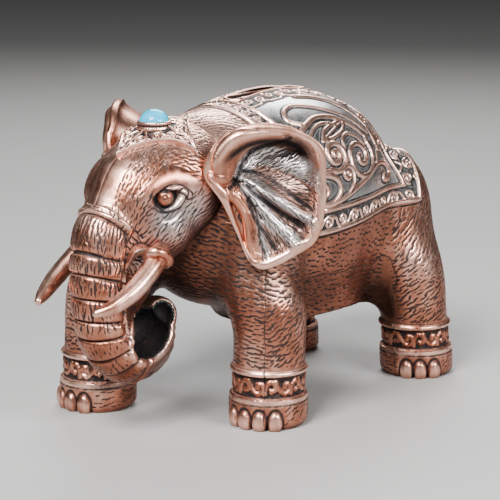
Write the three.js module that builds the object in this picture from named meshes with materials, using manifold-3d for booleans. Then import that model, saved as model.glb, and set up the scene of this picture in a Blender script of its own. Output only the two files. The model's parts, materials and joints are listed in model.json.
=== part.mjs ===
// An elephant coin bank, cast hollow in zinc alloy and plated to antique copper.
//
// Millimetres, +Z up. The elephant faces -X and its left side is towards -Y. The origin is on the floor, under
// the middle of the whole figure. The figure is soldered together from castings, so each casting is one mesh
// and neighbours keep a hairline gap. The only piece that moves is the rubber stopper under the belly.

import * as THREE from 'three';
import { mergeVertices } from 'three/addons/utils/BufferGeometryUtils.js';
import Module from 'manifold-3d';

const wasm = await Module();
wasm.setup();

// ---- Driving dimensions ----

const WALL = 2.2; // thickness of the castings
const GAP = 0.3; // clearance between neighbouring pieces
const SOLE = 3; // thickness of the flat sole of each foot
const REACH = 200; // larger than the figure, for cutting blocks

const BARREL = { centre: [12, 0, 63.7], radii: [53, 32, 33] }; // the main swelling of the body
const BODY_SWELLS = [ // [centre, radii]
  [[14, 0, 52], [44, 29, 22.2]], // belly
  [[45, 0, 55], [28, 27, 24]], // rump
  [[-20, 0, 71], [20, 22, 21]], // neck
  [[-18, 0, 56], [21, 24, 23]], // chest
  [[-17, -21, 56], [14, 12, 22]], // near shoulder
  [[-34, 20, 50], [14, 12, 20]], // far shoulder, which steps forward
  [[53, -19, 50], [17, 12.5, 24]], // near thigh
  [[49, 19, 50], [17, 12.5, 24]], // far thigh
];
const HEAD_SWELLS = [
  [[-35, 0, 72.5], [22, 19.5, 18.6]], // skull
  [[-49, 0, 71], [14.2, 15.2, 14]], // brow
  [[-46.5, 0, 61], [13.5, 16.6, 11]], // cheeks
  [[-54, 0, 51], [9, 8.3, 15]], // the web of skin behind the trunk
];
const TRUNK = [ // [x, y, z, radius] down the trunk and up its curled end
  [-52, 0, 72, 9.6], [-58, 0, 66, 9.2], [-62.8, 0, 59.5, 8.8], [-64.3, 0, 51, 8.5], [-64.5, 0, 42, 8.2],
  [-62.5, 0, 31.5, 8], [-57, 0, 24.6, 8], [-50, 0, 22.3, 7.8], [-43.6, 0, 25.2, 7.2], [-40.8, 0, 33, 5.8],
];
const HOLLOW_TRUNK_POINTS = 5; // the casting is hollow down to this point of the trunk
const CUP = { centre: [-51, -3, 29.3], radii: [10, 9, 6.8], wall: 1 }; // glossy cup inside the curl

const STANCE = 26.3; // distance of each foot from the middle plane
const LEGS = {
  near_front: { x: -19.8, y: -STANCE },
  far_front: { x: -39.8, y: STANCE },
  near_hind: { x: 57.2, y: -STANCE },
  far_hind: { x: 52, y: STANCE },
};
const FOOT_R = 12.5;
const LEG_R = 11;
const ANKLET_HEIGHTS = [8.8, 17.2]; // middle of the two raised rings above each foot
const ANKLET_R = 12.3;
const ANKLET_H = 2;
const LEG_TOP = 56;

const NECK_X = -27; // plane where the head is soldered to the neck
const NECK_Z = 58; // the head's castings end at this height where they meet the chest
const SADDLE_SEAM_Z = 80; // plane of the seam between the back and the flanks
const CHEST_SEAM_Z = NECK_Z; // plane of the seam between the chest and the flanks above it
const BELLY_SEAM_Z = 42; // plane of the seam between the flanks and the belly

const SLOT = { x: 10, length: 34, width: 5 }; // coin slot through the back
const HOLE = { x: 20, r: 14, z: 31 }; // hole under the belly, and its flat land
const LAND_R = 19;
const STOPPER = { r: 13.7, flangeR: 17.5, flangeH: 2, bodyH: 8, rimR: 9, recess: 5 };

const GEM = { x: -41, z: 90.8, r: 4.2, height: 4.5, girdle: 0.6 };
const BEZEL = { wall: 0.8, foot: 1.1, lip: 1.1 };
const PLATE_CORNERS = { front: [-56.5, 0], side: [-40, 16.5], back: [-24.5, 0] };
const PLATE_RISE = 1.6;

const EAR_ROOT = new THREE.Vector3(-38, 19.5, 0); // on the right; the left one is mirrored
const EAR_EDGE = new THREE.Vector3(-16, 44.2, 0);
const EAR_LENGTH = 34;
const EAR_THICKNESS = 2.6;
const EAR_BOWL = 2.2; // how far the middle lies behind the rim
const EAR_CUP = { depth: 8.5, from: 72, to: 88 }; // the upper half bends back between these heights
const EAR_FAN = new THREE.Vector2(8.5, 76.5); // the folds fan out from here
const EAR_OUTLINE = [ // [distance from the root, height]
  [-2, 77], [-1, 83], [4, 89], [11.5, 92], [20, 92], [27, 89.6], [32.8, 85], [33.6, 76], [33.4, 67], [31, 58],
  [25, 53.4], [16, 49.2], [11, 52], [7.5, 60], [3, 69.5],
];
const TUSK = [
  [-52, 13, 60, 4], [-59, 15.6, 54.5, 3.5], [-67, 15.6, 48.5, 3], [-74.5, 13.6, 44.8, 2.2], [-79.4, 11.2, 43.8, 0.7],
];
const TAIL = [
  [62, 0, 74, 3], [72, 0.5, 72, 2.4], [77, 2, 64, 1.9], [78.1, 4.5, 54, 1.6], [76.5, 7, 45, 2.4], [74, 8.5, 38, 1],
];

// ---- Turning geometries into solids and back ----

function solid(geometry, matrix = new THREE.Matrix4()) {
  const bare = geometry.clone();
  bare.deleteAttribute('normal');
  bare.deleteAttribute('uv');
  bare.applyMatrix4(matrix);
  const merged = mergeVertices(bare, 1e-4);
  return new wasm.Manifold(new wasm.Mesh({
    numProp: 3,
    vertProperties: new Float32Array(merged.attributes.position.array),
    triVerts: new Uint32Array(merged.index.array),
  }));
}

function geometryOf(piece) {
  const mesh = piece.getMesh();
  const geometry = new THREE.BufferGeometry();
  geometry.setAttribute('position', new THREE.BufferAttribute(new Float32Array(mesh.vertProperties), 3));
  geometry.setIndex(new THREE.BufferAttribute(new Uint32Array(mesh.triVerts), 1));
  return geometry;
}

const joined = (pieces) => pieces.reduce((sum, piece) => sum.add(piece));

// ---- Basic shapes ----

function ellipsoid([x, y, z], [rx, ry, rz], around = 20, rows = 12) {
  const matrix = new THREE.Matrix4().makeTranslation(x, y, z);
  matrix.multiply(new THREE.Matrix4().makeScale(rx, ry, rz));
  matrix.multiply(new THREE.Matrix4().makeRotationX(Math.PI / 2));
  return solid(new THREE.SphereGeometry(1, around, rows), matrix);
}

// A solid of revolution about a vertical axis at (x, y), from [radius, z] points.
function turned(profile, [x, y], sides) {
  const points = profile.map(([r, z]) => new THREE.Vector2(r, z));
  const matrix = new THREE.Matrix4().makeTranslation(x, y, 0);
  matrix.multiply(new THREE.Matrix4().makeRotationX(Math.PI / 2));
  return solid(new THREE.LatheGeometry(points, sides), matrix);
}

function block([x0, y0, z0], [x1, y1, z1]) {
  const matrix = new THREE.Matrix4().makeTranslation((x0 + x1) / 2, (y0 + y1) / 2, (z0 + z1) / 2);
  return solid(new THREE.BoxGeometry(x1 - x0, y1 - y0, z1 - z0), matrix);
}

function shapeOf(outline) {
  return new THREE.Shape(outline.map(([x, y]) => new THREE.Vector2(x, y)));
}

// An upright prism over a plan outline.
function prism(outline, z0, z1) {
  const geometry = new THREE.ExtrudeGeometry(shapeOf(outline), { depth: z1 - z0, bevelEnabled: false });
  return solid(geometry, new THREE.Matrix4().makeTranslation(0, 0, z0));
}

// Upright walls one gap thick along a plan path: what a seam takes away from the castings.
function seamWalls(path, z0, z1) {
  const walls = [];
  for (let i = 1; i < path.length; i += 1) {
    const [ax, ay] = path[i - 1];
    const [bx, by] = path[i];
    const length = Math.hypot(bx - ax, by - ay);
    const matrix = new THREE.Matrix4().makeTranslation((ax + bx) / 2, (ay + by) / 2, (z0 + z1) / 2);
    matrix.multiply(new THREE.Matrix4().makeRotationZ(Math.atan2(by - ay, bx - ax)));
    walls.push(solid(new THREE.BoxGeometry(length + GAP, GAP, z1 - z0), matrix));
  }
  return joined(walls);
}

// A closed tube of changing radius along a smooth curve: points are [x, y, z, radius].
function taperedTube(points, sides, steps, grow = 0) {
  const curve = new THREE.CatmullRomCurve3(points.map(([x, y, z]) => new THREE.Vector3(x, y, z)));
  const frames = curve.computeFrenetFrames(steps, false);
  const radiusAt = (t) => {
    const place = t * (points.length - 1);
    const i = Math.min(Math.floor(place), points.length - 2);
    return THREE.MathUtils.lerp(points[i][3], points[i + 1][3], place - i) + grow;
  };
  const positions = [];
  const faces = [];
  for (let i = 0; i <= steps; i += 1) {
    const centre = curve.getPoint(i / steps);
    const radius = radiusAt(i / steps);
    for (let k = 0; k < sides; k += 1) {
      const angle = (2 * Math.PI * k) / sides;
      const point = centre.clone();
      point.addScaledVector(frames.normals[i], radius * Math.cos(angle));
      point.addScaledVector(frames.binormals[i], radius * Math.sin(angle));
      positions.push(point.x, point.y, point.z);
    }
  }
  for (let i = 0; i < steps; i += 1) {
    for (let k = 0; k < sides; k += 1) {
      const a = i * sides + k;
      const b = i * sides + ((k + 1) % sides);
      faces.push(a, b, b + sides, a, b + sides, a + sides);
    }
  }
  const last = steps * sides;
  for (let k = 1; k < sides - 1; k += 1) {
    faces.push(0, k + 1, k, last, last + k, last + k + 1);
  }
  const geometry = new THREE.BufferGeometry();
  geometry.setAttribute('position', new THREE.Float32BufferAttribute(positions, 3));
  geometry.setIndex(faces);
  return solid(geometry);
}

// ---- The body: barrel, neck, chest, rump, shoulders, thighs and legs, as one form of any offset ----

function legProfile(grow) {
  if (grow < 0) {
    return [[0, SOLE], [FOOT_R + grow, SOLE], [LEG_R + grow, 12], [LEG_R + grow, 40], [0, LEG_TOP]];
  }
  const rings = ANKLET_HEIGHTS.flatMap((z) => [
    [LEG_R, z - ANKLET_H], [ANKLET_R, z - ANKLET_H / 2], [ANKLET_R, z + ANKLET_H / 2], [LEG_R, z + ANKLET_H],
  ]);
  return [[0, 0], [FOOT_R - 0.7, 0], [FOOT_R, 1.5], [FOOT_R, 5.5], ...rings, [LEG_R + 0.6, 40], [0, LEG_TOP]];
}

function swelling([centre, radii], grow, facets) {
  return ellipsoid(centre, radii.map((r) => r + grow), ...facets);
}

function bodyForm(grow) {
  const inner = grow < 0;
  const legs = Object.values(LEGS).map(({ x, y }) => turned(legProfile(grow), [x, y], inner ? 8 : 14));
  const barrel = swelling([BARREL.centre, BARREL.radii], grow, inner ? [16, 8] : [22, 12]);
  const swells = BODY_SWELLS.map((swell) => swelling(swell, grow, inner ? [10, 6] : [14, 8]));
  return joined([barrel, ...swells, ...legs]);
}

// ---- The head with its trunk, as one form of any offset ----

function headForm(grow) {
  const inner = grow < 0;
  const swells = HEAD_SWELLS.map((swell) => swelling(swell, grow, inner ? [12, 6] : [16, 10]));
  const trunk = inner ? TRUNK.slice(0, HOLLOW_TRUNK_POINTS) : TRUNK;
  return joined([...swells, taperedTube(trunk, inner ? 6 : 10, 2 * (trunk.length - 1), grow)]);
}

const inFrontOfNeck = block([-REACH, -REACH, -REACH], [NECK_X, REACH, REACH]);
const cup = (grow) => ellipsoid(CUP.centre, CUP.radii.map((r) => r + grow), 16, 10);
const trunkCore = taperedTube(TRUNK.slice(HOLLOW_TRUNK_POINTS), 10, 8, -GAP);
const liner = cup(-GAP).intersect(trunkCore).subtract(cup(-GAP - CUP.wall));
const headShell = headForm(0).intersect(inFrontOfNeck).subtract(headForm(-WALL)).subtract(cup(0));

// ---- The castings of the body, cut apart along their seams ----

// Plan path of the seam between the chest and the rest. It crosses each front leg through its axis.
const SEAM_DIRECTION = new THREE.Vector2(0.83, 0.56).normalize();
const { near_front: nearFront, far_front: farFront } = LEGS;
const alongSeam = ({ x, y }, distance) => [
  x + distance * SEAM_DIRECTION.x,
  y - distance * Math.sign(y) * SEAM_DIRECTION.y,
];
const CHEST_BACK = [-5, STANCE / 2];
const chestSeam = [
  alongSeam(nearFront, -30),
  [nearFront.x, nearFront.y],
  alongSeam(nearFront, FOOT_R + 0.5),
  [CHEST_BACK[0], -CHEST_BACK[1]],
  CHEST_BACK,
  alongSeam(farFront, FOOT_R + 0.5),
  [farFront.x, farFront.y],
  alongSeam(farFront, -30),
];
const chestOutline = [...chestSeam, [-REACH, STANCE * 2], [-REACH, -STANCE * 2]];
const chestRegion = prism(chestOutline, -REACH, CHEST_SEAM_Z);

// Plan outline of the belly casting, which runs back between the axes of the hind legs.
const bellySide = [[CHEST_BACK[0], -CHEST_BACK[1]], [4, -STANCE], [REACH, -STANCE]];
const mirrored = (path) => path.map(([x, y]) => [x, -y]);
const bellyOutline = [...bellySide, ...mirrored(bellySide).reverse()];
const bellyRegion = prism(bellyOutline, -REACH, BELLY_SEAM_Z);
const backRegion = block([-REACH, -REACH, SADDLE_SEAM_Z], [REACH, REACH, REACH]);

const seams = joined([
  seamWalls(chestSeam, -1, CHEST_SEAM_Z),
  prism(chestOutline, CHEST_SEAM_Z - GAP / 2, CHEST_SEAM_Z + GAP / 2),
  seamWalls(bellySide, -1, BELLY_SEAM_Z),
  seamWalls(mirrored(bellySide), -1, BELLY_SEAM_Z),
  prism(bellyOutline, BELLY_SEAM_Z - GAP / 2, BELLY_SEAM_Z + GAP / 2),
  block([-REACH, -REACH, SADDLE_SEAM_Z - GAP / 2], [REACH, REACH, SADDLE_SEAM_Z + GAP / 2]),
  block([CHEST_BACK[0], -GAP / 2, BELLY_SEAM_Z], [REACH, GAP / 2, SADDLE_SEAM_Z]),
  block([-REACH, -GAP / 2, CHEST_SEAM_Z], [REACH, GAP / 2, SADDLE_SEAM_Z]),
]);

const upperNeck = block([-REACH, -REACH, NECK_Z], [NECK_X + GAP, REACH, REACH]);
const slotCutter = block(
  [SLOT.x - SLOT.length / 2, -SLOT.width / 2, BARREL.centre[2]],
  [SLOT.x + SLOT.length / 2, SLOT.width / 2, REACH],
);
const land = turned([[0, HOLE.z], [LAND_R, HOLE.z], [LAND_R, HOLE.z + 6], [0, HOLE.z + 6]], [HOLE.x, 0], 24);
const holeCutter = turned(
  [[0, HOLE.z - 5], [HOLE.r, HOLE.z - 5], [HOLE.r, HOLE.z + 12], [0, HOLE.z + 12]],
  [HOLE.x, 0],
  24,
);
const bodyShell = bodyForm(0)
  .subtract(bodyForm(-WALL))
  .subtract(upperNeck)
  .subtract(headForm(GAP).intersect(inFrontOfNeck))
  .add(land)
  .subtract(block([HOLE.x - LAND_R - 1, -LAND_R - 1, 0], [HOLE.x + LAND_R + 1, LAND_R + 1, HOLE.z]))
  .subtract(holeCutter)
  .subtract(slotCutter)
  .subtract(seams);

const leftSide = block([-REACH, -REACH, -REACH], [REACH, 0, REACH]);
const rightSide = block([-REACH, 0, -REACH], [REACH, REACH, REACH]);
const flanks = bodyShell.subtract(chestRegion).subtract(bellyRegion).subtract(backRegion);

// ---- Ears: cupped plates with a proud rim, set into the sides of the head ----

// How far back the ear lies behind its plane at a share of the way from the fan to the rim.
function earDepth(point, share) {
  const bend = THREE.MathUtils.smoothstep(point.y, EAR_CUP.from, EAR_CUP.to);
  const cupped = EAR_CUP.depth * bend * Math.sin(Math.PI * THREE.MathUtils.clamp(point.x / EAR_LENGTH, 0, 1));
  return cupped + EAR_BOWL * (1 - share ** 4);
}

// Two sheets of rings between the fan and the outline, closed round the rim.
function ear(side) {
  const across = EAR_EDGE.clone().sub(EAR_ROOT).normalize();
  const facing = new THREE.Vector3(-across.y, across.x, 0);
  const edge = new THREE.SplineCurve(
    [...EAR_OUTLINE, EAR_OUTLINE[0]].map(([u, v]) => new THREE.Vector2(u, v)),
  ).getPoints(28).slice(0, -1);
  const shares = [0.3, 0.6, 0.85, 1];
  const positions = [];
  const place = (point, depth) => {
    const at = EAR_ROOT.clone().addScaledVector(across, point.x).addScaledVector(facing, -depth);
    positions.push(at.x, side * at.y, point.y);
  };
  for (const behind of [-EAR_THICKNESS / 2, EAR_THICKNESS / 2]) {
    place(EAR_FAN, earDepth(EAR_FAN, 0) + behind);
    for (const share of shares) {
      for (const corner of edge) {
        const point = EAR_FAN.clone().lerp(corner, share);
        place(point, earDepth(point, share) + behind);
      }
    }
  }
  const faces = [];
  const n = edge.length;
  const back = 1 + shares.length * n;
  const add = (a, b, c) => faces.push(...(side > 0 ? [a, b, c] : [a, c, b]));
  const vertex = (ring, k) => 1 + ring * n + (k % n);
  for (let k = 0; k < n; k += 1) {
    add(0, vertex(0, k), vertex(0, k + 1));
    add(back, back + vertex(0, k + 1), back + vertex(0, k));
    for (let ring = 0; ring < shares.length - 1; ring += 1) {
      const [a, b, c, d] = [vertex(ring, k), vertex(ring + 1, k), vertex(ring + 1, k + 1), vertex(ring, k + 1)];
      add(a, b, c);
      add(a, c, d);
      add(back + a, back + c, back + b);
      add(back + a, back + d, back + c);
    }
    const [rim, next] = [vertex(shares.length - 1, k), vertex(shares.length - 1, k + 1)];
    add(rim, back + rim, back + next);
    add(rim, back + next, next);
  }
  const geometry = new THREE.BufferGeometry();
  geometry.setAttribute('position', new THREE.Float32BufferAttribute(positions, 3));
  geometry.setIndex(faces);
  return solid(geometry).subtract(headForm(GAP)).subtract(bodyForm(GAP));
}

// ---- Tusks, head plate, stone, tail and stopper ----

function tusk(side) {
  const placed = TUSK.map(([x, y, z, r]) => [x, side * y, z, r]);
  return taperedTube(placed, 8, 8).subtract(headForm(GAP));
}

function platePlan() {
  const { front, side, back } = PLATE_CORNERS;
  const shape = new THREE.Shape();
  shape.moveTo(...front);
  shape.quadraticCurveTo(-46, 6, ...side);
  shape.quadraticCurveTo(-34.5, 6, ...back);
  shape.quadraticCurveTo(-34.5, -6, side[0], -side[1]);
  shape.quadraticCurveTo(-46, -6, ...front);
  return shape.getPoints(5).slice(0, -1).map(({ x, y }) => [x, y]);
}

const gemSeat = turned([[0, 85], [GEM.r + 1.1, 85], [GEM.r + 1.1, 100], [0, 100]], [GEM.x, 0], 16);
const headPlate = headForm(PLATE_RISE)
  .intersect(prism(platePlan(), 74, REACH))
  .subtract(headForm(GAP))
  .subtract(bodyForm(GAP))
  .subtract(gemSeat);
const bezelOuter = GEM.r + BEZEL.wall;
const bezelInner = GEM.r + GAP;
const bezel = turned(
  [
    [bezelInner - 1, GEM.z - BEZEL.foot], [bezelOuter, GEM.z - BEZEL.foot], [bezelOuter, GEM.z + BEZEL.lip],
    [bezelInner, GEM.z + BEZEL.lip], [bezelInner, GEM.z], [bezelInner - 1, GEM.z],
    [bezelInner - 1, GEM.z - BEZEL.foot],
  ],
  [GEM.x, 0],
  16,
).subtract(headForm(GAP));
const domeRow = (k) => [
  GEM.r * Math.cos((k / 4) * (Math.PI / 2)),
  GEM.z + GAP + GEM.girdle + (GEM.height - GAP - GEM.girdle) * Math.sin((k / 4) * (Math.PI / 2)),
];
const cabochon = turned(
  [[0, GEM.z + GAP], [GEM.r, GEM.z + GAP], ...[0, 1, 2, 3].map(domeRow), [0, domeRow(4)[1]]],
  [GEM.x, 0],
  16,
).subtract(headForm(GAP));

const tail = taperedTube(TAIL, 6, 10).subtract(bodyForm(GAP));

const stopperTop = HOLE.z - GAP + STOPPER.bodyH;
const stopperFloor = HOLE.z - GAP - STOPPER.flangeH;
const stopper = turned(
  [
    [0, stopperTop - STOPPER.recess], [STOPPER.rimR, stopperTop - STOPPER.recess], [STOPPER.rimR, stopperTop],
    [STOPPER.r, stopperTop], [STOPPER.r, HOLE.z - GAP], [STOPPER.flangeR, HOLE.z - GAP],
    [STOPPER.flangeR, stopperFloor], [0, stopperFloor],
  ].reverse(),
  [HOLE.x, 0],
  24,
);

// ---- The whole object ----

const COPPER = { color: 0xb0694f, roughness: 0.35, metalness: 1 };
const DARK_COPPER = { color: 0x8a4a36, roughness: 0.45, metalness: 1 };
const SILVERED = { color: 0x9a8a82, roughness: 0.4, metalness: 1 };
const TURQUOISE = { color: 0x3fb4dc, roughness: 0.25, metalness: 0 };
const GLOSS_BLACK = { color: 0x0c1213, roughness: 0.08, metalness: 0 };
const RUBBER = { color: 0x1b1b1c, roughness: 0.8, metalness: 0 };

const pieces = [
  ['back_shell', bodyShell.intersect(backRegion), SILVERED],
  ['flank_shell_left', flanks.intersect(leftSide), COPPER],
  ['flank_shell_right', flanks.intersect(rightSide), COPPER],
  ['chest_shell', bodyShell.intersect(chestRegion), COPPER],
  ['belly_shell', bodyShell.subtract(chestRegion).intersect(bellyRegion), DARK_COPPER],
  ['head_shell_left', headShell.intersect(leftSide.translate([0, -GAP / 2, 0])), COPPER],
  ['head_shell_right', headShell.intersect(rightSide.translate([0, GAP / 2, 0])), COPPER],
  ['trunk_liner', liner, GLOSS_BLACK],
  ['ear_left', ear(-1), COPPER],
  ['ear_right', ear(1), COPPER],
  ['tusk_left', tusk(-1), COPPER],
  ['tusk_right', tusk(1), COPPER],
  ['head_plate', headPlate, SILVERED],
  ['gem_bezel', bezel, COPPER],
  ['turquoise_cabochon', cabochon, TURQUOISE],
  ['tail', tail, COPPER],
  ['belly_stopper', stopper, RUBBER],
];

const group = new THREE.Group();
for (const [name, piece, look] of pieces) {
  const mesh = new THREE.Mesh(geometryOf(piece), new THREE.MeshStandardMaterial(look));
  mesh.name = name;
  group.add(mesh);
}

export default group;
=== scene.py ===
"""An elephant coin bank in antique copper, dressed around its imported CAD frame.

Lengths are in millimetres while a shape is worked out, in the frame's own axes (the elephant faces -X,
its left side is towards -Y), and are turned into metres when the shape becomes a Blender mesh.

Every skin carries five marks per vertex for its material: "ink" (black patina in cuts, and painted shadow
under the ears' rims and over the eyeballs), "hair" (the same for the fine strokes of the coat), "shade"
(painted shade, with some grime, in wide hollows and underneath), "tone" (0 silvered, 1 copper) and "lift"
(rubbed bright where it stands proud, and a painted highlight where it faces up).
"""

import json
import math

import bpy
import numpy as np
import openvdb
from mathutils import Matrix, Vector
from mathutils.bvhtree import BVHTree
from mathutils.kdtree import KDTree

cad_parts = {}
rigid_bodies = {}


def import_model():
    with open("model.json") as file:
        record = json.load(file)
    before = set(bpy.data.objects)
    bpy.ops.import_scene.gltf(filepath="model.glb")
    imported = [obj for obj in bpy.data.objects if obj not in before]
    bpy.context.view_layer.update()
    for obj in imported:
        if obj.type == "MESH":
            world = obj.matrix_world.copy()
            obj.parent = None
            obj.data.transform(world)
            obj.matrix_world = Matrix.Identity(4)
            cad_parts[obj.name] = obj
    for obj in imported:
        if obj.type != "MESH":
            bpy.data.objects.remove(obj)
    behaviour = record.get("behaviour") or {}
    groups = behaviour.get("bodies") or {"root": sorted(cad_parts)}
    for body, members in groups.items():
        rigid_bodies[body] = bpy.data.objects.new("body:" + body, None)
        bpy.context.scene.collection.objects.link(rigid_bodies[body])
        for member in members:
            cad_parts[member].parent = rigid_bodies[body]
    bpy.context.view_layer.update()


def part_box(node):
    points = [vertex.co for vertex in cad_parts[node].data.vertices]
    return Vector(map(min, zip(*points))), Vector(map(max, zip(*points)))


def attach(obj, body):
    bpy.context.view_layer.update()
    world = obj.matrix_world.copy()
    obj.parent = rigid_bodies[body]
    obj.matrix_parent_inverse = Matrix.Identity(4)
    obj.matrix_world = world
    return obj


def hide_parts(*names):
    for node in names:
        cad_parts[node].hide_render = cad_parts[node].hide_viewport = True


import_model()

MM = 0.001  # metres in a millimetre
ROUNDS = 2  # how often the body's and head's quads are cut into four
rng = np.random.default_rng(7)

# --------------------------------------------------------------------------------------------------
# Distance fields. Each takes points (n, 3) in millimetres and returns a distance that is negative inside.
# --------------------------------------------------------------------------------------------------


def ellipsoid(p, centre, radii):
    q = (p - np.float32(centre)) / np.float32(radii)
    inner = np.sqrt((q * q).sum(1)) + 1e-6
    outer = np.sqrt(((q / np.float32(radii)) ** 2).sum(1)) + 1e-6
    return inner * (inner - 1) / outer


def smooth_min(a, b, k):
    h = np.clip(0.5 + 0.5 * (b - a) / k, 0, 1)
    return b * (1 - h) + a * h - k * h * (1 - h)


def step_up(x, low, high):
    """0 below low, 1 above high, and smooth between."""
    t = np.clip((x - low) / (high - low), 0, 1)
    return t * t * (3 - 2 * t)


def hump(x, width):
    """1 where x is 0, falling away smoothly on both sides."""
    return np.exp(-((x / width) ** 2))


def spline(points, steps=8, closed=False):
    """A Catmull-Rom curve through points of any dimension, with so many samples a span."""
    points = np.array(points, float)
    if closed:
        ends = np.vstack([points[-1], points, points[:2]])
    else:
        ends = np.vstack([2 * points[0] - points[1], points, 2 * points[-1] - points[-2]])
    t = np.linspace(0, 1, steps, endpoint=False)[:, None]
    spans = []
    for i in range(len(ends) - 3):
        a, b, c, d = ends[i : i + 4]
        cubic = 2 * b + (c - a) * t + (2 * a - 5 * b + 4 * c - d) * t**2 + (3 * b - a - 3 * c + d) * t**3
        spans.append(0.5 * cubic)
    return np.vstack(spans) if closed else np.vstack([*spans, points[-1:]])


def nearest_on(p, line):
    """The nearest place on a polyline of any dimension: (distance, length from its start)."""
    line = np.asarray(line, np.float32)
    p = np.asarray(p, np.float32)
    best = np.full(len(p), 1e9, np.float32)
    where = np.zeros(len(p), np.float32)
    start = 0.0
    for a, b in zip(line[:-1], line[1:]):
        ab = b - a
        length = float(np.sqrt(ab @ ab)) + 1e-9
        t = np.clip((p - a) @ ab / length**2, 0, 1)
        d = np.linalg.norm(p - a - t[:, None] * ab, axis=1)
        near = d < best
        best = np.where(near, d, best)
        where = np.where(near, start + t * length, where)
        start += length
    return best, where


def lengths_along(line):
    """The length from a polyline's start to each of its points."""
    return np.concatenate([[0], np.cumsum(np.linalg.norm(np.diff(line, axis=0), axis=1))])


def place_at(line, along):
    """The places at given lengths along a polyline."""
    stations = lengths_along(line)
    return np.stack([np.interp(along, stations, column) for column in line.T], 1)


def tube(p, line):
    """A round tube along a polyline of (x, y, z, radius)."""
    best = np.full(len(p), 1e9, np.float32)
    for a, b in zip(np.float32(line[:-1]), np.float32(line[1:])):
        ab = b[:3] - a[:3]
        t = np.clip((p - a[:3]) @ ab / (ab @ ab), 0, 1)
        d = np.linalg.norm(p - a[:3] - t[:, None] * ab, axis=1)
        best = np.minimum(best, d - a[3] - (b[3] - a[3]) * t)
    return best


# ---- The body ----

BARREL_CENTRE = (11, 0, 63.7)
BARREL_RADII = (51, 32, 33)
SWELLS = [  # centre, radii, and how softly each one joins the rest
    ((14, 0, 50), (44, 28.5, 24.6), 6),
    ((40, 0, 52), (24, 27, 26.6), 6),
    ((-20, 0, 71), (20, 22, 21), 6),
    ((-18, 0, 56), (21, 24, 23), 6),
    ((-17, -21, 56), (14, 12, 22), 4),
    ((-34, 20, 50), (14, 12, 20), 4),
    ((51.5, -19, 50), (16, 12.5, 24), 4),
    ((48, 19, 50), (16, 12.5, 24), 4),
]
LEGS = {  # foot x, foot y, how far the leg's top stands behind its foot
    "near_front": (-19.8, -26.3, 1.0),
    "far_front": (-39.8, 26.3, 2.5),
    "near_hind": (57.2, -26.3, -5.0),
    "far_hind": (52.0, 26.3, -3.0),
}
FOOT_R = 12.1
LEG_R = 10.9
ANKLETS = (8.8, 17.2)  # heights of the two rings round every foot
SKIN_INSET = 0.7  # the saddle stands this much proud of the skin
HOLE_X, HOLE_R, HOLE_Z = 20.0, 14.0, 31.0  # the stopper's hole, at the top of a recess in the belly
PAD_X, PAD_R, PAD_Z = 24.0, 21.0, 26.6  # the flat of the belly round that recess


def leg_centre(height, x, lean):
    return x + lean * (np.clip(height, 0, 60) / 40) ** 1.3


def leg(p, x, y, lean):
    height = np.clip(p[:, 2], 0, 60)
    inwards = np.sign(y) * 9 * step_up(height, 26, 60)
    flat = np.hypot(p[:, 0] - leg_centre(height, x, lean), p[:, 1] - y + inwards)
    foot = FOOT_R - 1.1 * hump(height, 1.1)
    shaft = LEG_R - 0.5 * hump(height - 13, 3.5) + 2.2 * step_up(height, 24, 46)
    mix = step_up(height, 7.2, 9)
    side = flat - foot * (1 - mix) - shaft * mix
    return np.maximum(-smooth_min(-side, 50 - p[:, 2], 14), -p[:, 2])


def torso(p):
    whole = ellipsoid(p, BARREL_CENTRE, BARREL_RADII) + SKIN_INSET
    for centre, radii, softness in SWELLS:
        whole = smooth_min(whole, ellipsoid(p, centre, radii) + 0.3, softness)
    return whole


def body(p):
    whole = torso(p)
    for x, y, lean in LEGS.values():
        whole = smooth_min(whole, leg(p, x, y, lean), 7)
    pad = np.maximum(np.hypot((p[:, 0] - PAD_X) / 1.35, p[:, 1]) - PAD_R, PAD_Z - p[:, 2])
    whole = smooth_min(whole, np.maximum(pad, p[:, 2] - 45), 10)
    recess = np.maximum(np.hypot(p[:, 0] - HOLE_X, p[:, 1]) - HOLE_R - 3.2, p[:, 2] - HOLE_Z)
    whole = -smooth_min(-whole, recess, 1.2)
    return np.maximum(whole, -p[:, 2])


# ---- The head and trunk ----

TRUNK = spline(  # x, y, z, radius, from between the eyes to the tip
    [
        (-52, 0, 72, 9.6), (-58, 0, 66, 9.2), (-62.8, 0, 59.5, 8.8), (-64.3, 0, 51, 8.5),
        (-64.5, 0, 42, 8.2), (-62.5, 0, 31.5, 8), (-57, 0, 24.6, 8), (-50, 0, 22.3, 7.8),
        (-43.6, 0, 25.2, 7.2), (-40.8, 0, 33, 5.8),
    ],
    4,
)
CUP_CENTRE = (-51, -3, 29.3)
CUP_RADII = (10, 9, 6.8)
CUP_TILT = math.radians(18)
NOSTRIL_CENTRE = (-42.6, -4.6, 34.2)
NOSTRIL_RADII = (3.0, 3.6, 3.4)


def head(p):
    skull = ellipsoid(p, (-35, 0, 72.5), (22, 19.5, 18.6))
    skull = smooth_min(skull, ellipsoid(p, (-49, 0, 71), (14.2, 15.2, 14)), 4)
    skull = smooth_min(skull, ellipsoid(p, (-46.5, 0, 61), (13.5, 16.6, 11)), 3.5)
    skull = smooth_min(skull, ellipsoid(p, (-54, 0, 51), (9, 8.3, 15)), 5)
    return smooth_min(skull, tube(p, TRUNK), 4)


def tilted(p, centre, tilt):
    """Points turned about a sideways axis through a centre."""
    q = p - np.float32(centre)
    c, s = math.cos(tilt), math.sin(tilt)
    return stacked(c * q[:, 0] + s * q[:, 2], q[:, 1], c * q[:, 2] - s * q[:, 0])


def cup_bowl(p):
    return ellipsoid(tilted(p, CUP_CENTRE, CUP_TILT), (0, 0, 0), CUP_RADII)


def nostril(p):
    return ellipsoid(p, NOSTRIL_CENTRE, NOSTRIL_RADII)


def cup(p):
    """The hollow in the trunk's curl together with the nostril at its tip."""
    return np.minimum(cup_bowl(p), nostril(p))


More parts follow.
